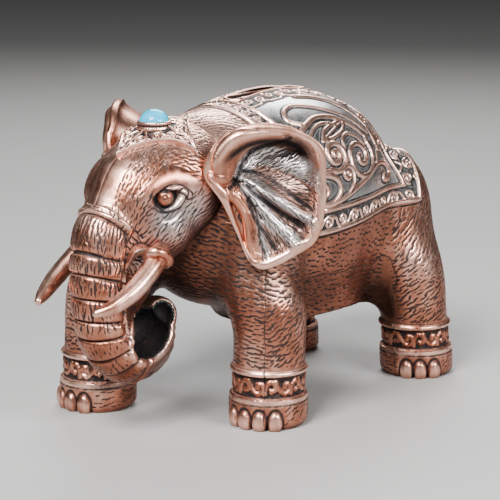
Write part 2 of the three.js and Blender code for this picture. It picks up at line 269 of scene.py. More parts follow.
def head_with_cup(p):
    """The head with the cup's hollow scooped out of the trunk's curl."""
    return np.maximum(head(p), -(cup(p) + 0.2))


# --------------------------------------------------------------------------------------------------
# Skins: quads on a field's surface, with relief and marks
# --------------------------------------------------------------------------------------------------


def slopes(field, p, step=0.25):
    """Unit normals of a field at points."""
    offsets = np.float32([(1, -1, -1), (-1, -1, 1), (-1, 1, -1), (1, 1, 1)]) * step
    normal = sum(offset * field(p + offset)[:, None] for offset in offsets)
    return normal / (np.linalg.norm(normal, axis=1, keepdims=True) + 1e-9)


def settle(field, p, rounds=2):
    """Moves points onto the field's surface."""
    for _ in range(rounds):
        p = p - slopes(field, p) * np.clip(field(p), -1.5, 1.5)[:, None]
    return p


def finer(points, quads):
    """Every quad cut into four."""
    corner = quads.reshape(-1)
    following = np.roll(quads, -1, axis=1).reshape(-1)
    low, high = np.minimum(corner, following), np.maximum(corner, following)
    keys, edge = np.unique(low * len(points) + high, return_inverse=True)
    mids = (points[keys // len(points)] + points[keys % len(points)]) / 2
    centres = points[quads].mean(1)
    edge = edge.reshape(-1, 4) + len(points)
    centre = np.arange(len(quads)) + len(points) + len(mids)
    parts = [np.stack([quads[:, i], edge[:, i], centre, edge[:, i - 1]], 1) for i in range(4)]
    return np.vstack([points, mids, centres]), np.vstack(parts)


MARKS = {"ink": 0.0, "hair": 0.0, "shade": 0.0, "tone": 1.0, "lift": 0.5}  # what a plain surface has of each


def tree_of(points):
    tree = KDTree(len(points))
    for i, point in enumerate(points.tolist()):
        tree.insert(point, i)
    tree.balance()
    return tree


class Skin:
    """Points and quads with normals, a height to be raised by, and the five material marks."""

    def __init__(self, points, quads, normals):
        self.points = points.astype(np.float32)
        self.quads = quads
        self.normals = normals.astype(np.float32)
        n = len(points)
        self.height = np.zeros(n, np.float32)
        self.ink = np.zeros(n, np.float32)
        self.hair = np.zeros(n, np.float32)
        self.shade = np.zeros(n, np.float32)
        self.tone = np.ones(n, np.float32)
        self.lift = np.full(n, 0.5, np.float32)
        self.tree = None

    def near(self, centres, radius):
        """Pairs of (centre index, vertex index) closer than a radius."""
        if self.tree is None:
            self.tree = tree_of(self.points)
        owners, vertices = [], []
        for i, centre in enumerate(np.asarray(centres, float).tolist()):
            found = [hit[1] for hit in self.tree.find_range(centre, radius)]
            vertices.append(np.array(found, int))
            owners.append(np.full(len(found), i))
        return np.concatenate(owners), np.concatenate(vertices)

    def blacken(self, share):
        self.ink = np.maximum(self.ink, share)

    def cut(self, share, depth, ink=1.0):
        """A groove, at its full depth where the share is 1."""
        self.height -= depth * share
        self.blacken(ink * share)

    def raise_up(self, share, height, lift):
        """A ridge, at its full height and rubbed bright where the share is 1."""
        self.height += height * share
        self.lift += lift * share

    def tuck_in(self, inside, reach, depth):
        """Turns a sheet's edge down by a depth, given how far inside the edge every point is."""
        tucked = -depth + (self.height + depth) * step_up(inside, 0, reach)
        self.height = np.where(inside < reach, tucked, self.height)

    def middles(self):
        """The centre of every quad."""
        return self.points[self.quads].mean(1)

    def raised(self):
        return self.points + self.normals * self.height[:, None]

    def part(self, keep=None):
        """Points, quads and marks of the quads in a mask, or of them all."""
        quads = self.quads if keep is None else self.quads[keep]
        used, local = np.unique(quads, return_inverse=True)
        marks = {name: getattr(self, name)[used] for name in MARKS}
        return self.raised()[used], local.reshape(-1, 4), marks


def field_skin(field, low, high, cell, rounds):
    """The field's surface between two corners, with its quads halved so many times."""
    axes = [np.arange(lo, hi + cell, cell, dtype=np.float32) for lo, hi in zip(low, high)]
    grid = np.stack(np.meshgrid(*axes, indexing="ij"), -1)
    values = np.concatenate([field(chunk) for chunk in np.array_split(grid.reshape(-1, 3), 8)])
    volume = openvdb.FloatGrid(background=cell * 3)
    volume.copyFromArray(values.reshape(grid.shape[:3]).astype(np.float32))
    points, quads = volume.convertToQuads(isovalue=0.0)
    points = settle(field, points * cell + np.float32(low))
    quads = quads.astype(np.int64)
    for _ in range(rounds):
        points, quads = finer(points, quads)
    points = settle(field, points, 1)
    return Skin(points, quads, slopes(field, points))


def grid_quads(rows, columns, wrap=False):
    """Quads of a grid of points stored row by row, its columns joined into a ring if wrapped."""
    r, c = np.meshgrid(np.arange(rows - 1), np.arange(columns if wrap else columns - 1), indexing="ij")
    here, right = r * columns + c, r * columns + (c + 1) % columns
    return np.stack([here, right, right + columns, here + columns], -1).reshape(-1, 4)


def unit(vectors):
    return vectors / np.maximum(np.linalg.norm(vectors, axis=-1, keepdims=True), 1e-9)


def quad_areas(points, quads):
    """Every quad's area as a vector along its normal, doubled."""
    corners = points[quads]
    return np.cross(corners[:, 2] - corners[:, 0], corners[:, 3] - corners[:, 1])


def quad_normals(points, quads):
    """Smooth vertex normals of a quad mesh."""
    areas = quad_areas(points, quads)
    total = np.zeros_like(points)
    for i in range(4):
        np.add.at(total, quads[:, i], areas)
    return unit(total)


def sheet_skin(points, quads):
    """A Skin of plain points and quads."""
    return Skin(points, quads, quad_normals(points, quads))


def faced_out(points, quads):
    """Quads of a closed shape, turned round if they face inwards."""
    out = points[quads].mean(1) - points.mean(0)
    return quads if (out * quad_areas(points, quads)).sum() > 0 else quads[:, ::-1]


def bead(distance, width):
    """A rounded ridge, 1 on its line and 0 past its half width."""
    return np.sqrt(np.clip(1 - (distance / width) ** 2, 0, 1))


def tangent(direction, normals):
    """Directions laid flat on a surface."""
    return unit(direction - normals * (direction * normals).sum(1, keepdims=True))


def turned_to(way, aim, share):
    """Directions brought round to an aim, wholly where the share is 1."""
    return way * (1 - share[:, None]) + share[:, None] * np.asarray(aim)


def stacked(*parts):
    """Vectors from their coordinates, each an array or one number."""
    return np.stack(np.broadcast_arrays(*parts), 1)


def scatter(points, allowed, spacing):
    """Vertex indices at random, no two closer than a spacing."""
    candidates = np.flatnonzero(allowed)
    rng.shuffle(candidates)
    candidates = candidates[: int(len(candidates) * 0.55)]
    cells = {}
    chosen = []
    coords = points[candidates]
    keys = np.floor(coords / spacing).astype(int).tolist()
    for index, (x, y, z), (i, j, k) in zip(candidates.tolist(), coords.tolist(), keys):
        clear = True
        for a in (i - 1, i, i + 1):
            for b in (j - 1, j, j + 1):
                for c in (k - 1, k, k + 1):
                    for u, v, w in cells.get((a, b, c), ()):
                        if (u - x) ** 2 + (v - y) ** 2 + (w - z) ** 2 < spacing * spacing:
                            clear = False
        if clear:
            chosen.append(index)
            cells.setdefault((i, j, k), []).append((x, y, z))
    return np.array(chosen, int)


def fur(skin, allowed, flow, spacing, length, width, depth, bend=0.0, ink=0.95):
    """Short tapered cuts along a flow of directions. A bend turns every cut into a little arc."""
    roots = scatter(skin.points, allowed, spacing)
    if not len(roots):
        return
    centres, normals = skin.points[roots], skin.normals[roots]
    way = tangent(flow(centres), normals)
    turn = rng.normal(0, 0.16, len(roots))[:, None]
    side = np.cross(normals, way)
    way, side = way * np.cos(turn) + side * np.sin(turn), side * np.cos(turn) - way * np.sin(turn)
    lengths = length * rng.uniform(0.6, 1.15, len(roots))
    weights = rng.uniform(0.65, 1.0, len(roots))
    owner, vertex = skin.near(centres, length * 0.6 + 2 * width)
    gap = skin.points[vertex] - centres[owner]
    t = (gap * way[owner]).sum(1) / (lengths[owner] / 2)
    s = (gap * side[owner]).sum(1) - bend * (t * t - 0.5)
    taper = np.clip(1 - t * t, 0, 1)
    # a wide slope either side of each stroke, which the material cuts off sharply part way up
    value = np.clip(1 - np.abs(s) / (2.1 * width), 0, 1) * taper**0.35 * weights[owner]
    mark = np.zeros(len(skin.points), np.float32)
    np.maximum.at(mark, vertex, value.astype(np.float32))
    skin.height -= 0.5 * depth * step_up(mark, 0.15, 0.8)
    skin.hair = np.maximum(skin.hair, ink * mark)


# --------------------------------------------------------------------------------------------------
# Blender objects and materials
# --------------------------------------------------------------------------------------------------


def node_box(name):
    """The lowest and highest corners of a CAD node, in millimetres."""
    low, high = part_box(name)
    return np.array(low) / MM, np.array(high) / MM


def mesh_object(name, points, quads, material, marks):
    """A Blender object from points in millimetres, quads and marks."""
    mesh = bpy.data.meshes.new(name)
    points = np.ascontiguousarray(points, np.float32) * MM
    quads = np.ascontiguousarray(quads, np.int32)
    mesh.vertices.add(len(points))
    mesh.vertices.foreach_set("co", points.ravel())
    mesh.loops.add(quads.size)
    mesh.loops.foreach_set("vertex_index", quads.ravel())
    mesh.polygons.add(len(quads))
    mesh.polygons.foreach_set("loop_start", np.arange(0, quads.size, quads.shape[1], dtype=np.int32))
    mesh.update(calc_edges=True)
    mesh.validate()
    mesh.shade_smooth()
    for key, default in MARKS.items():
        values = np.ascontiguousarray(marks.get(key, np.full(len(points), default)), np.float32)
        mesh.attributes.new(key, "FLOAT", "POINT").data.foreach_set("value", values)
    mesh.materials.append(material)
    obj = bpy.data.objects.new(name, mesh)
    bpy.context.scene.collection.objects.link(obj)
    return obj


def piece(name, parts, material, body_name="figure", replaces=()):
    """One object from several (points, quads, marks) parts, riding a body."""
    points, quads, marks = [], [], {key: [] for key in MARKS}
    count = 0
    for part_points, part_quads, part_marks in parts:
        points.append(part_points)
        quads.append(part_quads + count)
        count += len(part_points)
        for key, default in MARKS.items():
            marks[key].append(part_marks.get(key, np.full(len(part_points), default)))
    joined = {key: np.concatenate(values) for key, values in marks.items()}
    obj = mesh_object(name, np.vstack(points), np.vstack(quads), material, joined)
    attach(obj, body_name)
    if replaces:
        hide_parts(*replaces)
    return obj


def new_material(name):
    material = bpy.data.materials.new(name)
    material.use_nodes = True
    tree = material.node_tree
    return material, tree, tree.nodes["Principled BSDF"]


def mix_colour(tree, factor, a, b):
    """A colour mix node. Factor, a and b may be sockets or constants."""
    node = tree.nodes.new("ShaderNodeMix")
    node.data_type = "RGBA"
    for socket, value in ((node.inputs[0], factor), (node.inputs[6], a), (node.inputs[7], b)):
        if isinstance(value, bpy.types.NodeSocket):
            tree.links.new(value, socket)
        else:
            socket.default_value = value if socket == node.inputs[0] else (*value, 1)
    return node.outputs[2]


def maths(tree, kind, a, b, clamp=False):
    """A sum, product or other operation on two sockets or constants."""
    node = tree.nodes.new("ShaderNodeMath")
    node.operation = kind
    node.use_clamp = clamp
    for socket, value in zip(node.inputs, (a, b)):
        if isinstance(value, bpy.types.NodeSocket):
            tree.links.new(value, socket)
        else:
            socket.default_value = value
    return node.outputs[0]


def attribute(tree, name):
    node = tree.nodes.new("ShaderNodeAttribute")
    node.attribute_name = name
    return node.outputs["Fac"]


def noise(tree, scale, detail=3, roughness=0.55, stretch=(1, 1, 1)):
    coords = tree.nodes.new("ShaderNodeTexCoord")
    mapping = tree.nodes.new("ShaderNodeMapping")
    mapping.inputs["Scale"].default_value = stretch
    tree.links.new(coords.outputs["Object"], mapping.inputs["Vector"])
    node = tree.nodes.new("ShaderNodeTexNoise")
    node.inputs["Scale"].default_value = scale
    node.inputs["Detail"].default_value = detail
    node.inputs["Roughness"].default_value = roughness
    tree.links.new(mapping.outputs["Vector"], node.inputs["Vector"])
    return node.outputs["Fac"]


def remap(tree, value, low, high, to_low=0.0, to_high=1.0):
    node = tree.nodes.new("ShaderNodeMapRange")
    tree.links.new(value, node.inputs["Value"])
    for key, number in (("From Min", low), ("From Max", high), ("To Min", to_low), ("To Max", to_high)):
        node.inputs[key].default_value = number
    return node.outputs["Result"]


BLACK = (0.006, 0.006, 0.007)
SHADE_AND_GRIME_COLOUR = (0.035, 0.016, 0.011)
DULL_SILVER = (0.24, 0.24, 0.24)
RUBBED_AND_HIGHLIGHT_SILVER = (0.80, 0.78, 0.77)


def roughen(tree, shader, height, strength, depth):
    """A fine bump, its depth in metres."""
    bump = tree.nodes.new("ShaderNodeBump")
    bump.inputs["Strength"].default_value = strength
    bump.inputs["Distance"].default_value = depth
    tree.links.new(height, bump.inputs["Height"])
    tree.links.new(bump.outputs["Normal"], shader.inputs["Normal"])


def patina(name, bright, mid, deep, shade_and_grime):
    """Antiqued plating: rubbed metal and a painted highlight on the high places, dark patina in cuts, and
    painted shade with some grime in the hollows.
    """
    material, tree, shader = new_material(name)
    link = tree.links.new
    ink, shade = attribute(tree, "ink"), attribute(tree, "shade")
    tone, lift = attribute(tree, "tone"), attribute(tree, "lift")
    clouds = noise(tree, 70, 4)
    specks = noise(tree, 900, 3)
    brushed = noise(tree, 420, 2, 0.6, (1, 1, 0.12))

    # the lift mark holds rubbed wear and a painted highlight on surfaces facing up
    wear_and_highlight = maths(tree, "ADD", lift, remap(tree, clouds, 0.3, 0.7, -0.22, 0.22))
    wear_and_highlight = maths(tree, "ADD", wear_and_highlight, remap(tree, brushed, 0.3, 0.7, -0.10, 0.10), clamp=True)
    copper = mix_colour(tree, remap(tree, wear_and_highlight, 0.05, 0.5), deep, mid)
    copper = mix_colour(tree, remap(tree, wear_and_highlight, 0.5, 0.95), copper, bright)
    silver = mix_colour(tree, wear_and_highlight, DULL_SILVER, RUBBED_AND_HIGHLIGHT_SILVER)
    metal = mix_colour(tree, tone, silver, copper)

    # painted shade with some grime: the metal goes towards dark brown where the shade mark is high
    shade_and_grime_share = maths(tree, "MULTIPLY", shade, remap(tree, specks, 0.25, 0.75, 0.75, 1.2), clamp=True)
    metal = mix_colour(tree, maths(tree, "MULTIPLY", shade_and_grime_share, 0.85 * shade_and_grime), metal, SHADE_AND_GRIME_COLOUR)
    strokes = maths(tree, "ADD", attribute(tree, "hair"), remap(tree, brushed, 0.2, 0.8, -0.08, 0.08))
    strokes = remap(tree, strokes, 0.36, 0.50, 0, 0.96)
    patches = remap(tree, specks, 0.2, 0.8, 0.85, 1.1)
    dark = maths(tree, "MULTIPLY", remap(tree, ink, 0.15, 0.75), patches, clamp=True)
    dark = maths(tree, "MAXIMUM", dark, strokes)
    colour = mix_colour(tree, dark, metal, BLACK)
    link(colour, shader.inputs["Base Color"])
    shader.inputs["Specular IOR Level"].default_value = 0.2
    link(remap(tree, dark, 0, 1, 1, 0.25), shader.inputs["Metallic"])
    dull = remap(tree, brushed, 0.2, 0.8, 0.25, 0.38)
    dull = maths(tree, "ADD", dull, maths(tree, "MULTIPLY", dark, 0.25))
    link(maths(tree, "ADD", dull, maths(tree, "MULTIPLY", shade_and_grime_share, 0.12)), shader.inputs["Roughness"])

    grain = maths(tree, "ADD", specks, maths(tree, "MULTIPLY", brushed, 0.7))
    roughen(tree, shader, grain, 0.25, 0.00012)
    return material


def turquoise():
    material, tree, shader = new_material("turquoise")
    link = tree.links.new
    clouds = noise(tree, 260, 4)
    veins = noise(tree, 1500, 4, 0.7)
    colour = mix_colour(tree, remap(tree, clouds, 0.35, 0.65), (0.0, 0.27, 0.46), (0.01, 0.38, 0.58))
    speck = remap(tree, veins, 0.62, 0.68)
    colour = mix_colour(tree, speck, colour, (0.012, 0.03, 0.045))
    link(colour, shader.inputs["Base Color"])
    shader.inputs["Specular IOR Level"].default_value = 0.3
    link(remap(tree, veins, 0.3, 0.7, 0.10, 0.2), shader.inputs["Roughness"])
    roughen(tree, shader, veins, 0.2, 0.00008)
    return material


def black_gloss():
    material, tree, shader = new_material("gloss_black")
    link = tree.links.new
    clouds = noise(tree, 300, 3)
    drops = noise(tree, 620, 1)
    link(mix_colour(tree, clouds, (0.004, 0.006, 0.006), (0.014, 0.018, 0.019)), shader.inputs["Base Color"])
    link(remap(tree, clouds, 0.3, 0.7, 0.05, 0.14), shader.inputs["Roughness"])
    roughen(tree, shader, remap(tree, drops, 0.55, 0.7), 0.8, 0.0005)
    return material


def rubber():
    material, tree, shader = new_material("black_rubber")
    link = tree.links.new
    grain = noise(tree, 1800, 2)
    dust = noise(tree, 120, 4)
    link(mix_colour(tree, dust, (0.016, 0.016, 0.017), (0.045, 0.044, 0.043)), shader.inputs["Base Color"])
    link(remap(tree, dust, 0.3, 0.7, 0.55, 0.75), shader.inputs["Roughness"])
    roughen(tree, shader, grain, 0.35, 0.0001)
    return material


def painted_light_and_wear(skin, field):
    """Painted shade with some dark patina in the hollows and underneath, and rubbed metal with a painted
    highlight on top.
    """
    up = skin.normals[:, 2]
    under = np.clip(-up - 0.1, 0, 1)
    deep = hollows(field, skin.points, skin.normals, 15.0)
    tight = hollows(field, skin.points, skin.normals, 4.0)
    # painted shade with some dark patina: darker in hollows and on surfaces facing down
    skin.shade = np.clip(tight + 0.45 * under + 0.75 * step_up(deep, 0.35, 1.0), 0, 1)
    # painted highlight with some rubbing: lighter where the surface faces up, darker where it faces down
    skin.lift += 0.28 * np.clip(up, -0.6, 1)


def hollows(field, p, n, reach):
    """How closed-in each point is, 0 in the open and 1 in a tight fold."""
    wide = 1 - np.clip(field(p + n * reach) / reach, -0.5, 1)
    tight = 1 - np.clip(field(p + n * reach * 0.4) / (reach * 0.4), -0.5, 1)
    return np.clip(1.05 * wide + 0.6 * tight, 0, 1)


def spiral(x, y, radius, turns, start, hand, inner):
    """A spiral in the plane from its open end inwards: start is the open end's bearing in degrees."""
    t = np.linspace(0, 1, int(14 * turns) + 6)
    r = radius * (1 - t) + inner * t
    a = math.radians(start) + hand * t * turns * 2 * math.pi
    return stacked(x + r * np.cos(a), y + r * np.sin(a))


# --------------------------------------------------------------------------------------------------
# The body's skin: legs, anklets, nails, fur and seams
# --------------------------------------------------------------------------------------------------

SADDLE_AXIS_Z = 63.7
SADDLE_SPAN = 32.5  # arc length round the barrel for one radian
SADDLE_FRONT = [(0, -14.8), (18, -13.4), (35, -10.2), (50, -5.6), (62, -2.8)]  # arc length, x
SADDLE_REAR = [(0, 57.5), (20, 57.5), (38, 56.4), (50, 54.4), (62, 52.0)]
REAR_BAR = [(0, 43.0), (20, 43.0), (36, 43.2), (54, 46.0), (62, 46.8)]  # the bar in front of the rear border
SADDLE_RISE = 0.045  # how much faster the arc lengths run towards the rear, so the hem rises
SADDLE_BOTTOM = 61.0
SADDLE_LENGTH = 76.0
SLOT_CENTRE_X, SLOT_LENGTH, SLOT_WIDTH = 10.0, 34.0, 5.0
# bearings round a foot, in degrees from straight ahead outwards: where its nails are, and its shells' seam
FRONT_NAILS, HIND_NAILS = (-22, 2, 26, 50), (20, 42, 66)
NAILS = {"near_front": FRONT_NAILS, "far_front": FRONT_NAILS, "near_hind": HIND_NAILS, "far_hind": HIND_NAILS}
NAIL_REACH = 10.6  # half a nail, in degrees
SEAM_BEARING = {"near_front": 40, "far_front": 40, "near_hind": 8, "far_hind": 8}
ANKLET_TILES = 8


def saddle_span(x):
    return SADDLE_SPAN + SADDLE_RISE * np.clip(x, 0, 60)


def saddle_place(p):
    """(x, arc length from the top) of points beside the barrel."""
    angle = np.arctan2(np.abs(p[:, 1]), p[:, 2] - SADDLE_AXIS_Z)
    return p[:, 0], angle * saddle_span(p[:, 0])


def edge_at(edge, arc):
    edge = np.array(edge)
    return np.interp(arc, edge[:, 0], edge[:, 1])


def inside_saddle(p):
    """How deep a point lies inside the saddle's outline, in millimetres."""
    x, arc = saddle_place(p)
    between = np.minimum(x - edge_at(SADDLE_FRONT, arc), edge_at(SADDLE_REAR, arc) - x)
    return np.minimum(between, SADDLE_BOTTOM - arc)


def slot_gap(p):
    """How far a point is outside the coin slot in plan, or far away below the back."""
    gap = np.maximum(np.abs(p[:, 0] - SLOT_CENTRE_X) - SLOT_LENGTH / 2, np.abs(p[:, 1]) - SLOT_WIDTH / 2)
    return np.where(p[:, 2] > 80, gap, 9)


def anklet_scrolls(skin, at, arc, z):
    """S-scrolls with ball ends between a foot's two rings."""
    pitch = 2 * math.pi * LEG_R / ANKLET_TILES
    tile = np.stack([np.mod(arc[at], pitch), z[at] - ANKLETS[0] - 1.3], 1)
    curl = spline([(-0.4, 4.9), (0.9, 2.4), (2.8, 1.1), (4.5, 2.3), (4.1, 4.0), (2.8, 3.9), (2.7, 2.9)])
    arm = spline([(4.9, 0.9), (5.3, 3.2), (6.6, 4.7), (8.1, 4.0), (8.2, 2.4), (7.0, 1.9)])
    raised, outline = np.zeros((2, at.sum()))
    for line in (curl, arm, curl + (pitch, 0), arm - (pitch, 0)):
        d, _ = nearest_on(tile, line)
        raised = np.maximum(raised, bead(d, 0.72))
        outline = np.maximum(outline, 1 - step_up(d, 0.6, 1.15))
    for ball in ((7.0, 2.0), (2.75, 3.0)):
        d = np.hypot(tile[:, 0] - ball[0], tile[:, 1] - ball[1])
        raised = np.maximum(raised, 1.15 * bead(d, 0.85))
    skin.height[at] += 0.75 * raised
    skin.ink[at] = np.maximum(skin.ink[at], (0.86 + 0.12 * outline) * (1 - step_up(raised, 0.22, 0.5)))


def feet(skin):
    """Anklet rings and scrolls, and nails. Returns the leg index and bearing of every vertex."""
    p = skin.points
    which = np.full(len(p), -1)
    bearing = np.zeros(len(p), np.float32)
    z = p[:, 2]
    for i, (name, (x, y, lean)) in enumerate(LEGS.items()):
        dx, dy = p[:, 0] - leg_centre(z, x, lean), (p[:, 1] - y) * np.sign(y)
        mine = (np.hypot(dx, dy) < 15) & (z < 40)
        which[mine] = i
        angle = np.degrees(np.arctan2(dy, -dx))
        bearing[mine] = angle[mine]
        for ring in ANKLETS:
            at = mine & (np.abs(z - ring) < 2)
            d = z[at] - ring
            skin.height[at] += 1.15 * bead(d, 0.95)
            skin.ink[at] = np.maximum(skin.ink[at], hump(np.abs(d) - 1.15, 0.25))
            skin.lift[at] += 0.4 * bead(d, 0.9)
        band = mine & (z > ANKLETS[0] + 1) & (z < ANKLETS[1] - 1)
        anklet_scrolls(skin, band, np.radians(angle) * LEG_R + 50, z)
        for centre in NAILS[name]:
            across = (angle - centre) / NAIL_REACH
            low = mine & (z < 8) & (np.abs(across) < 1.35)
            up = np.clip(z[low] / 5.6, 0, 2)
            shape = np.sqrt(across[low] ** 2 + (1.55 * np.clip(up - 0.4, 0, 2)) ** 2)
            outline = hump(shape - 1.15, 0.2)
            skin.height[low] += 1.0 * np.sqrt(np.clip(1 - shape**2, 0, 1)) - 0.5 * outline
            skin.ink[low] = np.maximum(skin.ink[low], outline)
            skin.lift[low] += 0.3 * (shape < 0.85)
    return which, bearing


def body_flow(p):
    """The coat's flow on the body: back along the flank, and round the chest, neck, thighs and rump."""
    x, y, z = p.T
    side = np.sign(y)
    way = stacked(1.0, 0.0, -0.12 + 0 * x)
    way = turned_to(way, stacked(0.3, side, -0.3), np.clip((-x - 22) / 8, 0, 1))
    way = turned_to(way, stacked(0.9, 0.5 * side, 0.0), step_up(z, 80, 84) * (x < -10))
    way = turned_to(way, (0.72, 0.0, 0.7), step_up(x, 36, 43) * step_up(-z, -72, -60))
    return turned_to(way, stacked(0.0, -0.5 * side, 0.85), step_up(x, 64, 68))


def leg_flow(name):
    """The coat's flow round a leg: level in front of the seam, and rising behind it."""
    x0, y0, lean = LEGS[name]
    side = np.sign(y0)

    def flow(p):
        dx, dy = p[:, 0] - leg_centre(p[:, 2], x0, lean), p[:, 1] - y0
        way = unit(stacked(dy * side, -dx * side, 0.0))
        way[:, 2] = np.where(np.degrees(np.arctan2(dy * side, -dx)) > SEAM_BEARING[name], 0.62, -0.08)
        return way

    return flow


def seam_gap(skin, owner):
    """How far every vertex is from the nearest parting line between two shells."""
    low = np.full(len(skin.points), 99)
    high = np.full(len(skin.points), -1)
    for i in range(4):
        np.minimum.at(low, skin.quads[:, i], owner)
        np.maximum.at(high, skin.quads[:, i], owner)
    line = skin.points[low != high]
    tree = tree_of(line)
    # the stair-stepped boundary becomes a smooth line
    smoothed = [line[[hit[1] for hit in tree.find_range(point, 1.8)]].mean(0) for point in line.tolist()]
    owners, vertices = skin.near(smoothed, 0.9)
    gap = np.full(len(skin.points), 9.0, np.float32)
    distance = np.linalg.norm(np.array(smoothed)[owners] - skin.points[vertices], axis=1)
    np.minimum.at(gap, vertices, distance.astype(np.float32))
    return gap


def nearest_node(points, names):
    """For every point, the index of the CAD node whose surface is nearest."""
    corners, faces, owner = [], [], []
    count = 0
    for index, name in enumerate(names):
        cad = bpy.data.objects[name]
        matrix = np.array(cad.matrix_world)
        local = np.array([v.co[:] for v in cad.data.vertices])
        corners.append((local @ matrix[:3, :3].T + matrix[:3, 3]) / MM)
        for polygon in cad.data.polygons:
            faces.append([count + v for v in polygon.vertices])
            owner.append(index)
        count += len(local)
    tree = BVHTree.FromPolygons(np.vstack(corners).tolist(), faces)
    return np.array([owner[tree.find_nearest(point)[2]] for point in points.tolist()])


BODY_NODES = ("back_shell", "flank_shell_left", "flank_shell_right", "chest_shell", "belly_shell")


def everything(p):
    return np.minimum(body(p), head(p))


def body_skin(rounds):
    """The body and legs, without the saddle."""
    skin = field_skin(body, (-56, -42, -3), (82, 42, 101), 1.6, rounds)
    p, n = skin.points, skin.normals
    which, bearing = feet(skin)
    painted_light_and_wear(skin, everything)
    under = inside_saddle(p)
    skin.height -= 0.75 * step_up(under, 0.3, 1.2)
    skin.blacken(hump(under + 0.35, 0.5) * (p[:, 2] > 40))
    z = p[:, 2]
    # painted shade on the chest under the head
    throat_shade = step_up(-p[:, 0], 14, 26) * step_up(-z, -70, -56) * step_up(z, 34, 46)
    skin.shade = np.maximum(skin.shade, 0.75 * throat_shade)
    open_air = (head(p) > 0.5) & (under < -1.0) & (z > 2)
    coat = open_air & ((which < 0) | (z > 24)) & (n[:, 2] > -0.8)
    flank = coat & (p[:, 0] > -14) & (p[:, 0] < 40) & (which < 0)
    fur(skin, flank, body_flow, 1.5, 2.5, 0.32, 0.26, bend=0.5)
    fur(skin, coat & ~flank & (which < 0), body_flow, 1.3, 3.0, 0.32, 0.26)
    for i, name in enumerate(LEGS):
        mine = (which == i) & open_air
        shaft = mine & (z > ANKLETS[1] + 2) & (z <= 41)
        if "hind" in name:
            shaft &= bearing > SEAM_BEARING[name]
        fur(skin, shaft, leg_flow(name), 1.2, 2.9, 0.31, 0.26)
        past_nails = (bearing > max(NAILS[name]) + 16) | (bearing < min(NAILS[name]) - 16)
        fur(skin, mine & (z < 7) & past_nails & (n[:, 2] > -0.5), leg_flow(name), 1.25, 2.2, 0.25, 0.22)
    # nothing raised on a foot's underside goes below the floor
    down = n[:, 2] < -0.05
    skin.height[down] = np.minimum(skin.height[down], p[down, 2] / -n[down, 2])
    return skin


# --------------------------------------------------------------------------------------------------
# The saddle cloth: its scrolls are drawn on (x, arc length) and raised from the cloth
# --------------------------------------------------------------------------------------------------


BROAD, FINE = 1.05, 0.7  # half widths of the field's scrolls
SCROLLS = [  # half width, height, the stem's points (x, arc length), and the spiral that the stem ends in
    (BROAD, 0.85, [(-2, 40), (2, 40.6), (5.2, 40.8)], (9.7, 36.1, 5.6, 1.85, 130, -1, 0.5)),
    (BROAD, 0.9, [(0.5, 25.5), (5, 23.4), (10, 22), (17.5, 23), (25, 27), (30, 31.5)],
     (22.4, 38.6, 8.4, 1.75, -32, 1, 0.6)),
    (FINE, 0.6, [(2.6, 28), (7, 25.4), (11.5, 24.6), (17, 26)], None),
    (FINE, 0.65, [(15.4, 34.8), (16.2, 31.8), (19.6, 29.9), (24, 31.2), (27.5, 34.5)], None),
    (FINE + 0.15, 0.7, [(3, 23.8), (-1, 20.8), (0.2, 16.8), (5, 15), (12, 17), (19, 19.8), (27, 24),
                        (33.5, 30)], None),
    (BROAD, 0.75, [(12, 10.5), (20, 12.5), (28, 16.5), (34.5, 23.5), (37.5, 31), (36.5, 37)], None),
    (FINE, 0.6, [(6.8, 30.8), (10, 27.4), (15, 25.8), (22, 24.6), (19, 28.2), (13, 30.2), (6.8, 30.8)], None),
    (0.45, 0.55, [(7, 30.7), (13, 28.2), (20, 25.6)], None),
    (FINE + 0.1, 0.75, [(6, 51), (12, 49.6), (16.2, 46)], (13.5, 43, 3.1, 1.35, 20, -1, 0.4)),
    (BROAD, 0.85, [(3.5, 51), (10, 50.2), (17, 48.2), (25, 45.6), (32, 42.6), (38.5, 43.2), (41, 47),
                   (38.6, 50), (35.8, 49.2), (36.4, 47.3)], None),
    (BROAD, 0.85, [(-3, 41), (3, 41.4), (8, 44), (8.6, 47.8), (5, 50.6), (0, 50.8)], None),
    (FINE + 0.1, 0.75, [], (1.2, 46.6, 3.4, 1.5, 95, 1, 0.4)),
    (FINE, 0.65, [(33, 41.5), (34.8, 38), (38.2, 37.4), (40.2, 40)], None),
    (FINE + 0.1, 0.75, [], (38.6, 31.5, 3.2, 1.4, 80, -1, 0.4)),
    (FINE, 0.65, [(36, 35), (35.8, 28), (38, 24)], (39.2, 22, 2.6, 1.3, 160, 1, 0.4)),
    (FINE, 0.65, [], (35.5, 12.5, 3.2, 1.5, 200, 1, 0.4)),
    (FINE, 0.6, [(-6, 33), (-3.5, 29), (-4.5, 24.5), (-1.5, 23)], None),
]


def big_scrolls():
    """The field's scrolls as (line, half width, height)."""
    lines = []
    for width, height, stem, curl in SCROLLS:
        parts = [spline(stem)] if stem else []
        parts += [spiral(*curl)] if curl else []
        lines.append((np.vstack(parts), width, height))
    return lines


